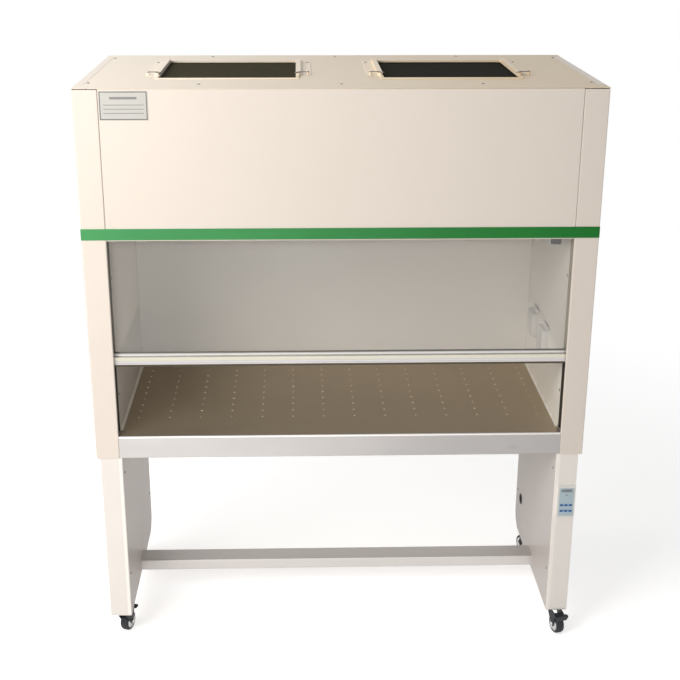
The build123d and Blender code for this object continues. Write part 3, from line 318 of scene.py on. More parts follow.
def worktop_finish(name, top_colour, apron_colour, lip, front, holes):
    """Satin steel tray: painted highlights round the holes, a darker top as painted reflection, a
    paler apron with wipe marks and painted shade toward +X, and a painted highlight on the fold.
    """
    f = Finish(name)
    x, y, z = f.axes()
    hair = f.noise(420, 4, (0.02, 1, 1), 0.6)
    clouds = f.noise(1.5, 4)
    wipes = f.noise(5, 3, (0.5, 1.6, 1))
    # the apron's face, the fold above it with its painted highlight and the line behind the fold
    # with its painted shade
    face = (z < lip - 0.0052) * (y < front + 0.02)
    fold = (y < front + 0.0068) * (1 - face)
    bend_shade = y.within(front + 0.0084, 0.0016) * (1 - face)
    # painted reflection: the top's darker brown stands in for the work zone reflected in it; the
    # apron's paler tone stands for its lit face
    top = f.mix(hair.smooth(0.2, 0.8), shade(top_colour, 0.93), shade(top_colour, 1.06))
    top = f.mix(clouds.smooth(0.35, 0.7) * 0.4, top, shade(top_colour, 1.18))
    # painted highlight: a pale rim round each hole, brighter on some than on others and fading
    # toward +X where the light falls off
    pitch_x, pitch_y, middle_y, reach_x, reach_y, radius = holes
    across = (x + pitch_x / 2).fold(pitch_x)
    along = (y - middle_y + pitch_y / 2).fold(pitch_y)
    from_hole = (across * across + along * along).root()
    inside = (abs(x) < reach_x) * y.within(middle_y, reach_y)
    glint_strength = f.noise(7, 2).smooth(0.42, 0.62) * (1 - x.smooth(-0.5, 0.1) * 0.7)
    rim = (from_hole < radius) * inside * (z > lip - 0.002)
    top = f.mix(rim * (glint_strength * 0.85 + 0.08), top, shade(top_colour, 2.1))
    # painted shade: the apron darkens toward +X where the light falls off
    apron = f.mix(x.smooth(-0.6, 0.8), shade(apron_colour, 0.96), shade(apron_colour, 0.64))
    apron = f.mix(wipes.smooth(0.3, 0.75) * 0.08, apron, (0, 0, 0))
    # a painted reflection of the leg, a dull oval on the apron: its middle, then its half sizes
    off_x, off_z = (x - 0.535) / 0.020, (z - lip + 0.047) / 0.009
    leg_reflection = 1 - (off_x * off_x + off_z * off_z).smooth(0.2, 1.3)
    apron = f.mix(leg_reflection * 0.4, apron, shade(apron_colour, 0.55))
    tone = f.mix(face, top, apron)
    # painted highlight along the fold, brighter toward -X, and painted shade along the line behind
    # it
    painted_highlight = f.mix(x.smooth(0.0, 0.8), shade(apron_colour, 1.25), shade(apron_colour, 1.0))
    tone = f.mix(fold, tone, painted_highlight)
    tone = f.mix(bend_shade * 0.8, tone, shade(top_colour, 0.45))
    rough = 0.36 + hair * 0.1 + wipes * 0.08
    metal = 0.85 - face * 0.35
    relief = f.bump(hair, 0.0001, 0.3)
    return f.surface(Base_Color=tone, Metallic=metal, Roughness=rough, Normal=relief)


def stretcher_finish(name, front_colour, top_colour):
    """Folded bar: brighter on its upright faces and darker on top, with patches of dust."""
    f = Finish(name)
    z = f.axes()[2]
    hair = f.noise(420, 4, (0.02, 1, 1), 0.65)
    dust = f.noise(11, 4, (0.3, 1, 1))
    top = z > float(stretcher_high[2]) - 0.0008
    tone = f.mix(top, front_colour, top_colour)
    tone = f.mix(hair.smooth(0.25, 0.75) * 0.12, tone, shade(top_colour, 0.8))
    tone = f.mix(dust.smooth(0.5, 0.8) * 0.15, tone, (0.62, 0.58, 0.53))
    rough = 0.36 + hair * 0.12 + top * 0.1
    relief = f.bump(hair, 0.00012, 0.4)
    return f.surface(Base_Color=tone, Metallic=0.6, Roughness=rough, Normal=relief)


def rail_finish(name, silver, cream, painted_highlight, low):
    """Satin anodised extrusion: die lines and grooves along it, a creamy upper face, painted
    highlights on the crest and the lip, painted shade in the grooves and a painted shadow along the
    foot.
    """
    f = Finish(name)
    die = f.noise(900, 3, (0.004, 1, 1), 0.7)
    stain = f.noise(6, 3, (0.4, 1, 1))
    rise = f.axes()[2] - low
    tone = f.mix(rise.smooth(0.0155, 0.0175), silver, cream)
    # painted highlights on the crest and on the lip
    tone = f.mix(rise.smooth(0.0300, 0.0310), tone, painted_highlight)
    tone = f.mix(rise.within(0.0067, 0.0017), tone, painted_highlight)
    # painted shade in the grooves and along the top
    grooves = rise.within(0.0090, 0.0005).either(rise.within(0.0166, 0.0004))
    grooves = grooves.either(rise.within(0.0288, 0.0012)).either(rise > 0.0352)
    tone = f.mix(grooves * 0.7, tone, shade(silver, 0.45))
    tone = f.mix(die.smooth(0.35, 0.75) * 0.22, tone, shade(silver, 0.82))
    tone = f.mix(stain.smooth(0.5, 0.8) * 0.2, tone, shade(painted_highlight, 1.05))
    rough = 0.34 + die * 0.14
    # painted shadow: the foot's lowest band is dark, standing in for the shade under the rail
    strip = rise < 0.0050
    tone = f.mix(strip, tone, (0.075, 0.058, 0.038))
    relief = f.bump(die * 0.1 - grooves, 0.0004, 0.5)
    metal = 0.45 - strip * 0.45
    return f.surface(Base_Color=tone, Metallic=metal, Roughness=rough + strip * 0.3, Normal=relief)


def guide_finish(name, colour, dark, low):
    """Extruded guide: brown-grey and darker below the sash rail's foot; the left guide is darkened
    as painted shade.
    """
    f = Finish(name)
    x, _, z = f.axes()
    blotches = f.noise(60, 4, (1, 1, 0.1))
    draw = f.noise(800, 2, (1, 1, 0.01))
    bare = 1 - (z - low + blotches * 0.01).smooth(0.0, 0.02)
    tone = f.mix(draw.smooth(0.3, 0.8), shade(colour, 0.86), colour)
    # painted shade: the left guide is darkened
    shaded = (x < 0) * 0.6
    tone = f.mix(bare.either(shaded) * 0.92, tone, dark)
    rough = 0.42 + blotches * 0.2
    return f.surface(Base_Color=tone, Roughness=rough, Normal=f.bump(draw, 0.0001, 0.3))


def green_finish(name, left_end_green, right_end_green, reach):
    """Extruded plastic trim with fine drawn lines, paler toward -X."""
    f = Finish(name)
    x = f.axes()[0]
    colour = f.mix(x.smooth(-reach * 1.2, reach * 1.2), left_end_green, right_end_green)
    lines = f.noise(700, 2, (0.01, 1, 1))
    clouds = f.noise(3, 3)
    tone = f.mix(clouds.smooth(0.3, 0.7) * 0.08, colour, (0, 0, 0))
    tone = f.mix(lines.smooth(0.4, 0.8) * 0.06, tone, (0, 0, 0))
    return f.surface(
        Base_Color=tone,
        Roughness=0.4 + lines * 0.1,
        Specular_IOR_Level=0.25,
        Normal=f.bump(lines, 0.0001, 0.3, f.rounded(0.0008)),
    )


def plastic_finish(name, colour, rough, grain=900, glow=0.0):
    """Moulded plastic: fine spark-eroded grain and slight cloudiness."""
    f = Finish(name)
    pits = f.noise(grain, 3)
    clouds = f.noise(14, 3)
    tone = f.mix(clouds.smooth(0.3, 0.7), shade(colour, 0.9), shade(colour, 1.05))
    values = {"Base_Color": tone, "Roughness": rough - 0.05 + pits * 0.1}
    values["Normal"] = f.bump(pits, 0.0001, 0.4, f.rounded(0.0006))
    if glow:
        values["Subsurface_Weight"] = glow
        values["Subsurface_Radius"] = (0.004, 0.004, 0.003)
    return f.surface(**values)


def rubber_finish(name, colour):
    """Wheel tread and seals: matt, dusty where it rubs."""
    f = Finish(name)
    pits = f.noise(600, 4)
    dust = f.noise(40, 4, roughness=0.7)
    tone = f.mix(dust.smooth(0.5, 0.8) * 0.5, colour, (0.11, 0.105, 0.095))
    return f.surface(Base_Color=tone, Roughness=0.62 + pits * 0.2, Normal=f.bump(pits, 0.0002, 0.4))


def zinc_finish(name, colour):
    """Zinc plate: patches of spangle with changing brightness."""
    f = Finish(name)
    tone = f.node("ShaderNodeSeparateColor", None, {0: f.cells(240)})
    grey = f.mix(tone, shade(colour, 0.78), shade(colour, 1.12))
    haze = f.noise(30, 3)
    return f.surface(Base_Color=grey, Metallic=1.0, Roughness=0.28 + tone * 0.14 + haze * 0.1)


def mesh_finish(name, colour, thread):
    """Filter mesh: a woven grid of threads over dark foam."""
    f = Finish(name)
    x, y, _ = f.axes()
    pitch = 0.0032
    half_thread = pitch * 0.16
    grid = (x.fold(pitch) < half_thread).either(y.fold(pitch) < half_thread)
    foam = f.noise(180, 4, roughness=0.7)
    fluff = f.noise(7, 4)
    tone = f.mix(foam.smooth(0.3, 0.7), shade(colour, 0.8), shade(colour, 1.25))
    tone = f.mix(grid * 0.55, tone, thread)
    tone = f.mix(fluff.smooth(0.5, 0.8) * 0.3, tone, shade(thread, 1.2))
    relief = f.bump(grid + foam * 0.5, 0.0005, 0.5)
    return f.surface(Base_Color=tone, Roughness=0.95, Specular_IOR_Level=0.06, Normal=relief)


def lamp_finish(name, colour, dark, block):
    """White sprayed fitting, dark beyond the block's x and below its z."""
    f = Finish(name)
    x, _, z = f.axes()
    peel = f.noise(300, 2)
    dust = f.noise(14, 4)
    tone = f.mix(dust.smooth(0.4, 0.8), colour, shade(colour, 0.9))
    tone = f.mix((x > block[0]) * (z < block[1]), tone, dark)
    return f.surface(Base_Color=tone, Roughness=0.4 + dust * 0.1, Normal=f.bump(peel, 0.0001, 0.3))


def pleat_finish(name, colour):
    """Folded glass paper: pale fibrous sheet."""
    f = Finish(name)
    fibre = f.noise(500, 5, (1, 0.3, 1), 0.7)
    clouds = f.noise(12, 3)
    tone = f.mix(clouds.smooth(0.3, 0.7), shade(colour, 0.92), colour)
    return f.surface(Base_Color=tone, Roughness=0.9, Normal=f.bump(fibre, 0.0003, 0.5))


def glass_finish(name, tint, clarity):
    """Clear float glass: a faint tint, light wiping marks, greener at its cut edges."""
    f = Finish(name)
    x, _, z = f.axes()
    smear = f.noise(3.5, 4, (1, 1, 0.4))
    cut = 0.004
    rim = (abs(x) > glass_high[0] - cut).either(z > glass_high[2] - cut)
    alpha = clarity + smear.smooth(0.45, 0.8) * 0.03 + rim * 0.5
    tone = f.mix(rim, tint, (0.25, 0.5, 0.42))
    return f.surface(Base_Color=tone, Roughness=0.04 + smear * 0.05, Alpha=alpha, IOR=1.5)


def nameplate_finish(name, colour, ink):
    """Bare engraved plate: a thin border line, a band and ruled rows, with no lettering."""
    f = Finish(name)
    x, _, z = f.axes()
    wide, _, tall = (float(size) / 2 for size in plate_high - plate_low)
    middle = (plate_high + plate_low) / 2
    u = abs(x - float(middle[0]))
    v = abs(z - float(middle[2]))
    rise = z - float(plate_low[2])
    inset, outset, row = 0.0045, 0.002, 0.0115
    outer = (u > wide - outset).either(v > tall - outset)
    border = (u > wide - inset).either(v > tall - inset) - outer
    rows = (rise + 0.003).fold(row) < 0.0011
    inside = (u < wide - 0.012) * (rise < 0.045) * (rise > 0.010)
    band = (u < wide - 0.030) * rise.within(0.062, 0.0035)
    hair = f.noise(700, 3, (0.03, 1, 1))
    tone = f.mix(hair.smooth(0.3, 0.7), shade(colour, 0.93), colour)
    tone = f.mix(border * 0.85, tone, ink)
    tone = f.mix(rows * inside * 0.55, tone, ink)
    tone = f.mix(band * 0.6, tone, ink)
    return f.surface(Base_Color=tone, Metallic=0.35, Roughness=0.38 + hair * 0.1)


def overlay_finish(name, bezel, film, between_keys, window):
    """Control panel: white moulded bezel round a pale film, with a display and a pilot lamp."""
    f = Finish(name)
    x, _, z = f.axes()
    # in metres: u from the panel's middle, v from its foot
    u = abs(x - float(panel_low[0] + panel_high[0]) / 2)
    v = z - float(panel_low[2])
    half_wide, middle, half_tall, margin = 0.0228, 0.053, 0.0478, 0.0014
    display_row, lamp_row, key_rows = 0.092, 0.0772, (0.042, 0.022)
    front = (u < half_wide) * v.within(middle, half_tall)
    pits = f.noise(900, 3)
    clouds = f.noise(20, 3)
    sheet = f.mix(clouds.smooth(0.3, 0.7), shade(film, 0.93), shade(film, 1.03))
    line = (u > half_wide - margin).either(abs(v - middle) > half_tall - margin)
    sheet = f.mix(line * 0.3, sheet, shade(film, 0.72))
    upper, lower = (v.within(row, 0.0046) for row in key_rows)
    sheet = f.mix(upper.either(lower) * (u < 0.0195) * 0.8, sheet, between_keys)
    display = v.within(display_row, 0.0052) * (u < 0.0172)
    digits = v.within(display_row, 0.0026) * (x.fold(0.0056) > 0.0011) * (u < 0.0118)
    sheet = f.mix(display, sheet, window)
    sheet = f.mix(digits * 0.35, sheet, shade(window, 0.3))
    pilot = v.within(lamp_row, 0.0018) * (u < 0.0018)
    sheet = f.mix(pilot, sheet, (0.01, 0.012, 0.015))
    tone = f.mix(front, bezel, sheet)
    return f.surface(Base_Color=tone, Roughness=0.34 + pits * 0.1, Normal=f.bump(pits, 0.0001, 0.2))


# ---------------------------------------------------------------- surfaces


def skin(points):
    """Quads over a grid of points: u runs along the first axis, v round the second and closes."""
    rows, columns = points.shape[:2]
    u, v = np.meshgrid(np.arange(rows - 1), np.arange(columns), indexing="ij")
    near, far, turn = u * columns, (u + 1) * columns, (v + 1) % columns
    quads = np.stack([near + v, far + v, far + turn, near + turn], axis=-1)
    return points.reshape(-1, 3), quads.reshape(-1, 4)


def merged(patches):
    """Several (points, faces) patches as one."""
    starts = np.cumsum([0] + [len(points) for points, _ in patches[:-1]])
    faces = np.concatenate([quads + start for start, (_, quads) in zip(starts, patches)])
    return np.concatenate([points for points, _ in patches]), faces


def piece(name, patches, body, material, smooth_angle=35):
    """One finished object: doubles merged, normals outward, riding a body."""
    points, faces = merged(patches)
    mesh = bpy.data.meshes.new(name)
    mesh.from_pydata(points.tolist(), [], faces.tolist())
    work = bmesh.new()
    work.from_mesh(mesh)
    bmesh.ops.remove_doubles(work, verts=work.verts, dist=1e-6)
    bmesh.ops.dissolve_degenerate(work, dist=1e-7, edges=work.edges)
    bmesh.ops.recalc_face_normals(work, faces=work.faces)
    work.to_mesh(mesh)
    work.free()
    mesh.shade_smooth()
    mesh.set_sharp_from_angle(angle=math.radians(smooth_angle))
    made = bpy.data.objects.new(name, mesh)
    bpy.context.scene.collection.objects.link(made)
    made.data.materials.append(material)
    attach(made, body)
    return made


def placed(patch, origin, axis, turn=0.0):
    """A patch drawn on +Z, turned so its +Z lies along an axis and moved to the origin."""
    points, faces = patch
    axis = np.asarray(axis, float) / np.linalg.norm(axis)
    helper = np.array([0, 0, 1.0]) if abs(axis[2]) < 0.9 else np.array([1.0, 0, 0])
    side = np.cross(helper, axis)
    side /= np.linalg.norm(side)
    up = np.cross(axis, side)
    c, s = math.cos(turn), math.sin(turn)
    basis = np.stack([c * side + s * up, c * up - s * side, axis])
    return points @ basis + np.asarray(origin), faces


def spun(profile, count):
    """A profile of (radius, height) pairs turned about +Z: x = r cos a, y = r sin a, z = h."""
    profile = np.asarray(profile, float)
    angle = np.linspace(0, 2 * math.pi, count, endpoint=False)
    radius, height = profile[:, 0], profile[:, 1]
    ring = np.stack([np.cos(angle), np.sin(angle)], axis=-1)
    points = np.empty((len(profile), count, 3))
    points[..., :2] = radius[:, None, None] * ring[None]
    points[..., 2] = height[:, None]
    return skin(points)


def cross_head(radius, rise, slot_width, slot_length, slot_depth):
    """Pan head screw: height = rise (1 - (r / R)^4)^(1/2), less a cross-shaped recess.

    The recess fades toward the ends of its arms."""
    r = np.linspace(0, 1, 13)
    a = np.linspace(0, 2 * math.pi, 48, endpoint=False)
    r, a = np.meshgrid(r, a, indexing="ij")
    x, y = radius * r * np.cos(a), radius * r * np.sin(a)
    height = rise * np.sqrt(np.clip(1 - r**4, 0, 1))
    arm = np.minimum(np.abs(x), np.abs(y))
    reach = np.maximum(np.abs(x), np.abs(y))
    inside = (arm < slot_width / 2) & (reach < slot_length / 2)
    height = height - slot_depth * inside * (1 - reach / slot_length)
    return skin(np.stack([x, y, height], axis=-1))


def hex_head(across, rise, chamfer):
    """Hexagon head, chamfered above: radius = across / 2 / cos(angle from the flat's middle)."""
    angle = np.linspace(0, 2 * math.pi, 24, endpoint=False)
    bend = (angle % (math.pi / 3)) - math.pi / 6
    flat = across / 2 / np.cos(bend)
    reach = np.array([1.0, 1.0, 0.9, 0.45, 0.4, 0.0])[:, None]
    height = np.array([0.0, rise - chamfer, rise, rise, rise - chamfer, rise - chamfer])[:, None]
    points = np.stack(
        [reach * flat * np.cos(angle), reach * flat * np.sin(angle), height + 0 * angle], axis=-1
    )
    return skin(points)


def swept(section, start, end):
    """A closed (y, z) section carried from x = start to x = end, its ends fanned to its middle."""
    section = np.asarray(section, float)
    stations = np.array([start, start, end, end])
    points = np.empty((4, len(section), 3))
    points[..., 0] = stations[:, None]
    points[..., 1:] = section[None]
    points[[0, 3], :, 1:] = section.mean(axis=0)
    return skin(points)


def arc(centre, radius, start, end, count):
    """Points of a (y, z) arc, in degrees."""
    t = np.radians(np.linspace(start, end, count))
    return [(centre[0] + radius * math.cos(k), centre[1] + radius * math.sin(k)) for k in t]


def rounded_box(low, high, radius):
    """A (y, z) rectangle with rounded corners, anticlockwise."""
    (y0, z0), (y1, z1) = np.add(low, radius), np.subtract(high, radius)
    centres = ((y1, z0), (y1, z1), (y0, z1), (y0, z0))
    starts = (-90, 0, 90, 180)
    turns = (arc(c, radius, start, start + 90, 4) for c, start in zip(centres, starts))
    return [spot for corner in turns for spot in corner]


def wear(names, material):
    """Gives CAD nodes their finish."""
    for name in names:
        mesh = nodes[name].data
        mesh.materials.clear()
        mesh.materials.append(material)


def named(text):
    """CAD nodes whose name holds the text."""
    return [name for name in nodes if text in name]


# ---------------------------------------------------------------- sizes and colours


def colour_property(name, description, default):
    """A colour in the bench's panel."""
    return bpy.props.FloatVectorProperty(
        name=name, description=description, subtype="COLOR", size=3, min=0, max=1, default=default
    )


def number_property(name, description, subtype, default, **more):
    """A size or a strength in the bench's panel."""
    return bpy.props.FloatProperty(
        name=name, description=description, subtype=subtype, default=default, **more
    )


class BenchColours(bpy.types.PropertyGroup):
    """Colours of the bench"""

    enamel: colour_property("Enamel", "Sprayed body colour", (0.86, 0.765, 0.675))
    cover: colour_property("Top cover", "Cover at its left end", (0.90, 0.80, 0.675))
    legs: colour_property("Legs", "Sprayed colour of the legs", (0.93, 0.87, 0.81))
    # darker than the legs: painted shade on the legs' inner sides
    leg_covers: colour_property("Leg covers", "Inner covers of the legs", (0.63, 0.575, 0.545))
    liner: colour_property("Liner", "Walls of the work zone", (0.82, 0.78, 0.725))
    trim_left_end: colour_property("Faded trim", "Left end of the trim strip", (0.08, 0.36, 0.125))
    trim: colour_property("Trim strip", "Right end of the trim strip", (0.003, 0.17, 0.015))
    # painted reflection: the worktop's top is darker than its apron, which stands for the lit face
    # of the same steel
    steel: colour_property("Worktop", "Top of the worktop", (0.47, 0.395, 0.295))
    apron: colour_property("Apron", "Front apron and stretcher", (0.72, 0.685, 0.665))
    aluminium: colour_property("Sash rail", "Anodised rail", (0.72, 0.69, 0.69))
    guide: colour_property("Sash guide", "Anodised guide", (0.50, 0.44, 0.35))
    film: colour_property("Panel film", "Film on the control panel", (0.47, 0.58, 0.62))
    keys: colour_property("Keys", "Control panel keys", (0.012, 0.075, 0.26))
    # lit and shaded copies of one filter mesh: the left filter lighter and the right darker,
    # painted light
    left_mesh: colour_property("Left filter", "Left prefilter", (0.040, 0.036, 0.020))
    right_mesh: colour_property("Right filter", "Right prefilter", (0.010, 0.009, 0.006))
    black: colour_property("Black plastic", "Casters, grommet and seals", (0.018, 0.020, 0.024))


class BenchSizes(bpy.types.PropertyGroup):
    """Sizes of the small fittings and strengths of the lamps"""

    screw_head: number_property("Screw head", "Diameter of a screw", "DISTANCE", 0.0096, min=0.004)
    seal: number_property("Seal", "Height of the rubber under the glass", "DISTANCE", 0.0022)
    bead: number_property("Bead", "Width of the sealing bead round the worktop", "DISTANCE", 0.0080)
    glass_haze: number_property("Glass haze", "How much the sash veils", "FACTOR", 0.10)
    key_light: number_property("Key light", "Power of the large lamp", "POWER", 84, unit="POWER")
    fill_light: number_property("Fill light", "Power of the fill lamp", "POWER", 9, unit="POWER")
    top_light: number_property("Top light", "Power of the lamp above", "POWER", 25, unit="POWER")
    ambient: number_property("Ambient", "Strength of the world", "FACTOR", 0.28)


# ---------------------------------------------------------------- operators


class BENCH_OT_enamel(bpy.types.Operator):
    """Enamel on columns, fascia, cover, legs and rear panel, and the liners of the work zone"""

    bl_idname = "bench.enamel"
    bl_label = "Enamelled sheets"

    def execute(self, context):
        colours = context.scene.bench_colours
        enamel, liner, cover = rgb(colours.enamel), rgb(colours.liner), rgb(colours.cover)
        # painted shade: the body panels darken toward +X where the light falls off
        warm = enamel_finish("warm_enamel", enamel, 0.2, far=shade(enamel, 0.94))
        wear(["left_side_panel", "right_side_panel", "front_fascia", "rear_panel"], warm)
        dusty = (cover[0] * 0.82, cover[1] * 0.73, cover[2] * 0.58)
        wear(["top_cover"], enamel_finish("dusty_enamel", cover, 0.1, far=dusty))
        frame_coat = enamel_finish("frame_enamel", shade(cover, 1.06), 0.2, far=shade(dusty, 1.12))
        wear(["left_intake_frame", "right_intake_frame"], frame_coat)
        # the legs' inner faces and the leg covers take the darker cover tone as painted shade; the
        # fold between a leg's faces gets a painted highlight
        corner = span("right_leg")[0]
        inner = (float(corner[0]), float(corner[1]), rgb(colours.leg_covers))
        leg_coat = enamel_finish("leg_enamel", rgb(colours.legs), 0.2, inner=inner)
        wear(["left_leg", "right_leg"], leg_coat)
        wear(["leg_covers"], enamel_finish("cover_enamel", rgb(colours.leg_covers), 0.2))
        wear(["back_liner"], enamel_finish("back_liner", liner, 0.0))
        level = float(rail_low[2])
        # painted light and shade on one liner: the left wall is lifted brighter, and below the
        # rail's foot the left wall is darker and the right wall brighter
        for side, tone, painted_tone_below in (("left", 1.15, 0.84), ("right", 1.0, 1.17)):
            coat = enamel_finish(
                f"{side}_liner", shade(liner, tone), 0.0, painted_tone_below=shade(liner, painted_tone_below), level=level
            )
            wear([f"{side}_liner"], coat)
        return {"FINISHED"}


class BENCH_OT_steelwork(bpy.types.Operator):
    """Worktop, stretcher, ledges and the galvanised parts of the plenum"""

    bl_idname = "bench.steelwork"
    bl_label = "Steelwork"

    def execute(self, context):
        colours = context.scene.bench_colours
        steel, apron = rgb(colours.steel), rgb(colours.apron)
        lip, front = float(worktop_high[2]), float(worktop_low[1])
        wear(["worktop"], worktop_finish("worktop_steel", steel, apron, lip, front, WORKTOP_HOLES))
        bar_steel = stretcher_finish("pale_steel", shade(apron, 0.98), shade(apron, 0.8))
        wear(["stretcher_bar"], bar_steel)
        zinc = zinc_finish("galvanised", (0.55, 0.55, 0.54))
        wear(["ledges", "plenum_front", "fan_deck"], zinc)
        wear(named("_blower"), zinc)
        wear(["diffuser_plate"], enamel_finish("diffuser_white", (0.72, 0.70, 0.67), 0.0))
        wear(["main_filter"], pleat_finish("filter_paper", (0.75, 0.74, 0.70)))
        lamp_white = lamp_finish("lamp_white", (0.70, 0.70, 0.68), (0.03, 0.03, 0.03), LAMP_BLOCK)
        wear(["lamp_fitting"], lamp_white)
        grey = (0.5, 0.5, 0.5)
        bladed = brushed_finish("impeller_steel", grey, shade(grey, 0.72), 300, 0.35)
        wear(named("_impeller"), bladed)
        # a quarter-round bead of sealant where the walls meet the worktop
        width = context.scene.bench_sizes.bead
        lift, gap = 0.00002, 0.0006
        foot = float(worktop_high[2]) + lift
        wall, rear = float(liner_low[0]) - gap, float(worktop_high[1])
        fillet = np.array([(0, 0)] + arc((-width, width), width, -90, 0, 6))
        beads = [swept(fillet + (rear, foot), -wall, wall)]
        along, quads = swept(fillet + (wall, foot), float(guide_high[1]) + 0.0005, rear)
        beads.append((along[:, [1, 0, 2]], quads))
        beads.append((along[:, [1, 0, 2]] * (-1, 1, 1), quads))
        sealant = plastic_finish("sealant", (0.88, 0.84, 0.76), 0.5, 300)
        piece("worktop_bead", beads, "cabinet", sealant)
        return {"FINISHED"}


class BENCH_OT_intakes(bpy.types.Operator):
    """Prefilters and the clips that hold them"""

    bl_idname = "bench.intakes"
    bl_label = "Intakes"

    def execute(self, context):
        colours = context.scene.bench_colours
        left, right = rgb(colours.left_mesh), rgb(colours.right_mesh)
        # painted light: one filter mesh, lighter on the left and darker on the right
        wear(["left_prefilter"], mesh_finish("left_mesh", left, shade(left, 1.5)))
        wear(["right_prefilter"], mesh_finish("right_mesh", right, shade(right, 1.5)))
        pale, dark = (0.22, 0.20, 0.18), (0.14, 0.13, 0.12)
        wear(named("_clip"), brushed_finish("clip_steel", pale, dark, 600, 0.4))
        return {"FINISHED"}


class BENCH_OT_trim(bpy.types.Operator):
    """Green strip and the bare nameplate"""

    bl_idname = "bench.trim"
    bl_label = "Trim and nameplate"

    def execute(self, context):
        colours = context.scene.bench_colours
        left_end_green, right_end_green, reach = rgb(colours.trim_left_end), rgb(colours.trim), float(trim_high[0])
        wear(["trim_strip"], green_finish("green_strip", left_end_green, right_end_green, reach))
        silver, ink = (0.58, 0.56, 0.52), (0.06, 0.06, 0.06)
        wear(["nameplate"], nameplate_finish("plate_silver", silver, ink))
        return {"FINISHED"}


class BENCH_OT_sash(bpy.types.Operator):
    """Glass, its extruded rail with grooves, the rubber at its foot, guides and shoes"""

    bl_idname = "bench.sash"
    bl_label = "Sash"

    def execute(self, context):
        colours = context.scene.bench_colours
        sizes = context.scene.bench_sizes
        wear(["sash_glass"], glass_finish("sash_glass", (0.80, 0.79, 0.76), sizes.glass_haze))
        rail_foot = float(rail_low[2])
        brown, guide_dark_tone = rgb(colours.guide), (0.022, 0.018, 0.013)
        wear(["sash_guides"], guide_finish("guide_brown", brown, guide_dark_tone, rail_foot))
        wear(["sash_shoes"], plastic_finish("shoe_black", rgb(colours.black), 0.55))
        # the third colour is the painted highlight on the rail's crest and lip
        silver, cream, painted_highlight = rgb(colours.aluminium), (0.76, 0.72, 0.59), (0.92, 0.90, 0.87)
        wear(["sash_rail"], rail_finish("rail_silver", silver, cream, painted_highlight, rail_foot))
        # a strip of rubber along each face of the glass, standing on the rail
        width, rounding, reach = 0.0022, 0.0009, 0.6775
        middle = (glass_low[1] + glass_high[1]) / 2
        inner = (glass_high[1] - glass_low[1]) / 2 + 0.0001
        foot = rail_high[2]
        strips = []
        for start in (-inner - width, inner):
            low, high = (start, foot), (start + width, foot + sizes.seal)
            section = np.array(rounded_box(low, high, rounding)) + (middle, 0)
            strips.append(swept(section, -reach, reach))
        rubber = rubber_finish("seal_rubber", (0.16, 0.15, 0.12))
        piece("glass_seal", strips, "sash", rubber)
        return {"FINISHED"}


class BENCH_OT_sockets(bpy.types.Operator):
    """Splash-proof socket boxes on the right wall and their lids"""

    bl_idname = "bench.sockets"
    bl_label = "Socket boxes"

    def execute(self, context):
        wear(["socket_bases"], plastic_finish("socket_white", (0.70, 0.68, 0.64), 0.6))
        white = plastic_finish("lid_white", (0.72, 0.70, 0.67), 0.5, glow=0.3)
        wear(["front_socket_lid", "rear_socket_lid"], white)
        return {"FINISHED"}


class BENCH_OT_controls(bpy.types.Operator):
    """Control panel film, keys, display window and pilot lamp; cable grommet"""

    bl_idname = "bench.controls"
    bl_label = "Controls"

    def execute(self, context):
        colours = context.scene.bench_colours
        bezel, between, window = (0.80, 0.78, 0.74), (0.24, 0.43, 0.70), (0.24, 0.28, 0.31)
        film = overlay_finish("panel_film", bezel, rgb(colours.film), between, window)
        wear(["control_panel"], film)
        wear(named("key_"), plastic_finish("key_blue", rgb(colours.keys), 0.35))
        wear(["cable_grommet"], rubber_finish("grommet_rubber", rgb(colours.black)))
        return {"FINISHED"}


class BENCH_OT_screws(bpy.types.Operator):
    """Cross-recessed pan head screws of the cover, leg covers, liners and intake plates"""

    bl_idname = "bench.screws"
    bl_label = "Screws"

    def execute(self, context):
        sizes = context.scene.bench_sizes
        head = cross_head(
            radius=sizes.screw_head / 2,
            rise=0.0022,
            slot_width=0.0012,
            slot_length=0.0056,
            slot_depth=0.0012,
        )
        patches = []
        for number, group in enumerate(islands(nodes["panel_screws"].data)):
            foot, axis = screw_seat(group)
            patches.append(placed(head, foot, axis, 0.7 * number))
        steel = brushed_finish("screw_steel", (0.30, 0.29, 0.28), (0.18, 0.17, 0.16), 900, 0.35)
        heads = piece("cover_screws", patches, "cabinet", steel, 50)
        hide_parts("panel_screws")
        return {"FINISHED"}


def corners(mesh):
    """The mesh's points, one row each."""
    flat = np.empty(len(mesh.vertices) * 3)
    mesh.vertices.foreach_get("co", flat)
    return flat.reshape(-1, 3)


def islands(mesh):
    """The points of each loose part.

    Every point takes the lowest label among its neighbours until none changes."""
    ends = np.empty(len(mesh.edges) * 2, int)
    mesh.edges.foreach_get("vertices", ends)
    spots, index = np.unique(corners(mesh).round(6), axis=0, return_inverse=True)
    ends = index.reshape(-1)[ends].reshape(-1, 2)
    label = np.arange(len(spots))
    while True:
        low = label[ends].min(axis=1)
        spread = label.copy()
        np.minimum.at(spread, ends[:, 0], low)
        np.minimum.at(spread, ends[:, 1], low)
        if (spread == label).all():
            return [spots[label == number] for number in np.unique(label)]
        label = spread


def screw_seat(points):
    """Middle of the face a screw head sits on, and the way the head points."""
    low, high = points.min(axis=0), points.max(axis=0)
    foot = (low + high) / 2
    thin = int(np.argmin(high - low))
    axis = np.zeros(3)
    axis[thin] = 1.0 if thin == 2 else -math.copysign(1, foot[0])
    foot[thin] = low[thin] if axis[thin] > 0 else high[thin]
    return foot, axis


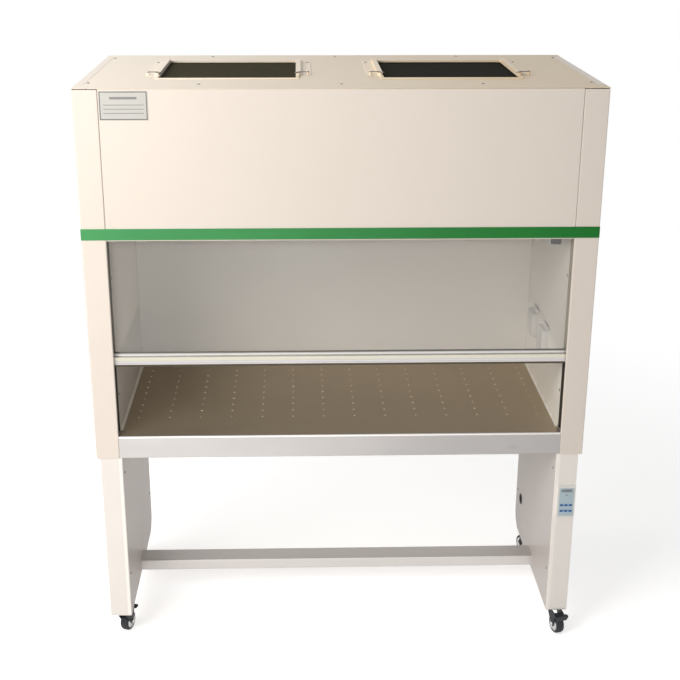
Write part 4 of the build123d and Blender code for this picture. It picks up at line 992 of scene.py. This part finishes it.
class BENCH_OT_casters(bpy.types.Operator):
    """Casters: tyre with a rounded tread, zinc plated rims, axle nuts, forks and brake pedals"""

    bl_idname = "bench.casters"
    bl_label = "Casters"

    def execute(self, context):
        colours = context.scene.bench_colours
        black = rgb(colours.black)
        tread = rubber_finish("tyre_rubber", black)
        rim = zinc_finish("rim_zinc", (0.62, 0.62, 0.62))
        # the forks and caster plates are near black
        fork_tone, bare = (0.035, 0.038, 0.044), (0.022, 0.024, 0.028)
        dark = brushed_finish("black_zinc", fork_tone, bare, 300, 0.42, along=(1, 1, 0.1))
        wear([*named("_fork"), "caster_plates"], dark)
        wear(named("_pedal"), plastic_finish("pedal_black", black, 0.5))
        nut = hex_head(across=0.0125, rise=0.0048, chamfer=0.0008)
        for roll in (joint for joint in frame["joints"] if joint["name"].endswith("_roll")):
            name, fork = roll["child"], roll["parent"]
            axis = np.array(roll["axis"], float)
            centre = np.array(roll["pos_m"], float)
            low, high = span(name)
            radius = (high[2] - low[2]) / 2
            along = (corners(nodes[name].data) - centre) @ axis
            centre = centre + axis * (along.max() + along.min()) / 2
            half = (along.max() - along.min()) / 2
            tyre_half = half - 0.0005
            # both profiles are (radius, height along the axle) pairs, from one side to the middle
            section = [
                (0.0222, -tyre_half + 0.0032),
                (0.0228, -tyre_half + 0.0002),
                (0.0236, -tyre_half),
                (radius - 0.0055, -tyre_half),
                (radius - 0.0024, -tyre_half + 0.0012),
                (radius - 0.0006, -tyre_half + 0.0042),
                (radius, -tyre_half + 0.0085),
            ]
            ring = section + [(r, -h) for r, h in section[::-1]]
            tyre = [placed(spun(ring, 72), centre, axis)]
            tyre = piece(f"{name}_tyre", tyre, name, tread)
            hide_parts(name)
            disc = [
                (0.0041, -half),
                (0.0085, -half),
                (0.0092, -half + 0.0008),
                (0.0094, -tyre_half + 0.0030),
                (0.0110, -tyre_half + 0.0042),
                (0.0185, -tyre_half + 0.0042),
                (0.0205, -tyre_half + 0.0030),
                (0.0220, -tyre_half + 0.0008),
                (0.0226, -tyre_half + 0.0004),
                (0.0226, -tyre_half + 0.0040),
            ]
            hub = disc + [(r, -h) for r, h in disc[::-1]] + [disc[0]]
            piece(f"{name}_rim", [placed(spun(hub, 48), centre, axis)], name, rim)
            # a nut on each end of the axle, against the outside of the fork
            arms = corners(nodes[fork].data) - centre
            reach = arms @ axis
            near = np.linalg.norm(arms - reach[:, None] * axis, axis=1) < 0.0095
            ends = [(reach[near].max(), 1), (reach[near].min(), -1)]
            nuts = [placed(nut, centre + axis * end, axis * side, 0.4) for end, side in ends]
            piece(f"{name}_nuts", nuts, fork, rim)
        return {"FINISHED"}


class BENCH_OT_stage(bpy.types.Operator):
    """Floor, lamps, world and camera"""

    bl_idname = "bench.stage"
    bl_label = "Studio"

    def execute(self, context):
        sizes = context.scene.bench_sizes
        floor_disc()
        for name, place, target, side, colour in LAMPS:
            lamp(name, place, target, side, getattr(sizes, f"{name}_light"), colour)
        studio_world(sizes.ambient)
        studio_camera()
        return {"FINISHED"}


def background_mask(finish):
    """1 for rays that show the surroundings: from the camera, by reflection or through glass."""
    seen = finish.node("ShaderNodeLightPath", output="Is Camera Ray")
    rays = seen.socket.node.outputs
    for name in ("Is Glossy Ray", "Is Transmission Ray"):
        seen = seen.either(Wire(finish, rays[name]))
    return seen


def floor_disc():
    """A flat disc, r from 0 to its edge: white, with the object's shadow kept near it."""
    radius = np.concatenate([np.linspace(0, 3, 13), [6.0, 12.0, 40.0]])
    points, faces = spun(np.stack([radius, np.zeros_like(radius)], axis=-1), 96)
    mesh = bpy.data.meshes.new("floor")
    mesh.from_pydata(points.tolist(), [], faces[:, ::-1].tolist())
    f = Finish("floor_white")
    x, y, _ = f.axes()
    far = (x * x + y * y).smooth(*SHADOW_FADE)
    seen = background_mask(f)
    grain = f.noise(60, 3)
    white = f.mix(grain, (0.90, 0.90, 0.90), (0.92, 0.92, 0.92))
    matt = f.node("ShaderNodeBsdfPrincipled", None, {"Base Color": white, "Roughness": 0.9})
    glow = f.node("ShaderNodeEmission", None, {"Color": (1, 1, 1, 1), "Strength": 1.0})
    lift = f.node("ShaderNodeEmission", None, {"Color": (1, 1, 1, 1), "Strength": SHADOW_LIFT})
    near = f.node("ShaderNodeAddShader", None, {0: matt, 1: lift})
    lit = f.node("ShaderNodeMixShader", None, {0: far, 1: near, 2: glow})
    whole = f.node("ShaderNodeMixShader", None, {0: seen, 1: matt, 2: lit})
    f.node("ShaderNodeOutputMaterial", None, {"Surface": whole})
    made = bpy.data.objects.new("floor", mesh)
    made.data.materials.append(f.material)
    bpy.context.scene.collection.objects.link(made)


def lamp(name, place, target, size, power, colour):
    """A square soft box that faces its target."""
    data = bpy.data.lights.new(name, "AREA")
    data.energy, data.size, data.color = power, size, colour
    made = bpy.data.objects.new(name, data)
    bpy.context.scene.collection.objects.link(made)
    aim = np.asarray(target, float) - np.asarray(place, float)
    made.location = place
    made.rotation_mode = "QUATERNION"
    made.rotation_quaternion = Vector(aim).to_track_quat("-Z", "Y")


def studio_world(ambient):
    """White surroundings for what is seen, a plain grey level for what is lit."""
    world = bpy.data.worlds.new("studio")
    bpy.context.scene.world = world
    f = Finish("studio", world)
    seen = background_mask(f)
    strength = ambient + seen * (1.0 - ambient)
    sky = f.node("ShaderNodeBackground", None, {"Color": (1, 1, 1, 1), "Strength": strength})
    f.node("ShaderNodeOutputWorld", None, {"Surface": sky})


def studio_camera():
    """Camera at eye level before the bench, looking down at it."""
    data = bpy.data.cameras.new("camera")
    data.sensor_width, data.lens = FILM_WIDTH, LENS
    data.shift_x, data.shift_y = LENS_SHIFT
    data.clip_end = 200
    made = bpy.data.objects.new("camera", data)
    bpy.context.scene.collection.objects.link(made)
    made.matrix_world = Matrix([*zip(*CAMERA_AXES, CAMERA_PLACE), (0, 0, 0, 1)])
    bpy.context.scene.camera = made


class BENCH_PT_looks(bpy.types.Panel):
    """Clean bench pieces, colours and sizes"""

    bl_idname = "BENCH_PT_looks"
    bl_label = "Clean bench"
    bl_space_type = "VIEW_3D"
    bl_region_type = "UI"
    bl_category = "Bench"

    def draw(self, context):
        for operator in operators:
            self.layout.operator(operator.bl_idname)
        for group in (context.scene.bench_colours, context.scene.bench_sizes):
            for key in group.__annotations__:
                self.layout.prop(group, key)


operators = [
    BENCH_OT_enamel,
    BENCH_OT_steelwork,
    BENCH_OT_intakes,
    BENCH_OT_trim,
    BENCH_OT_sash,
    BENCH_OT_sockets,
    BENCH_OT_controls,
    BENCH_OT_screws,
    BENCH_OT_casters,
    BENCH_OT_stage,
]
classes = [BenchColours, BenchSizes, *operators, BENCH_PT_looks]


def register():
    for cls in classes:
        bpy.utils.register_class(cls)
    bpy.types.Scene.bench_colours = bpy.props.PointerProperty(type=BenchColours)
    bpy.types.Scene.bench_sizes = bpy.props.PointerProperty(type=BenchSizes)


def unregister():
    del bpy.types.Scene.bench_sizes
    del bpy.types.Scene.bench_colours
    for cls in reversed(classes):
        bpy.utils.unregister_class(cls)


def main():
    register()
    bpy.context.scene.view_settings.view_transform = "Standard"
    for operator in operators:
        family, call = operator.bl_idname.split(".")
        getattr(getattr(bpy.ops, family), call)()


if __name__ == "__main__":
    main()
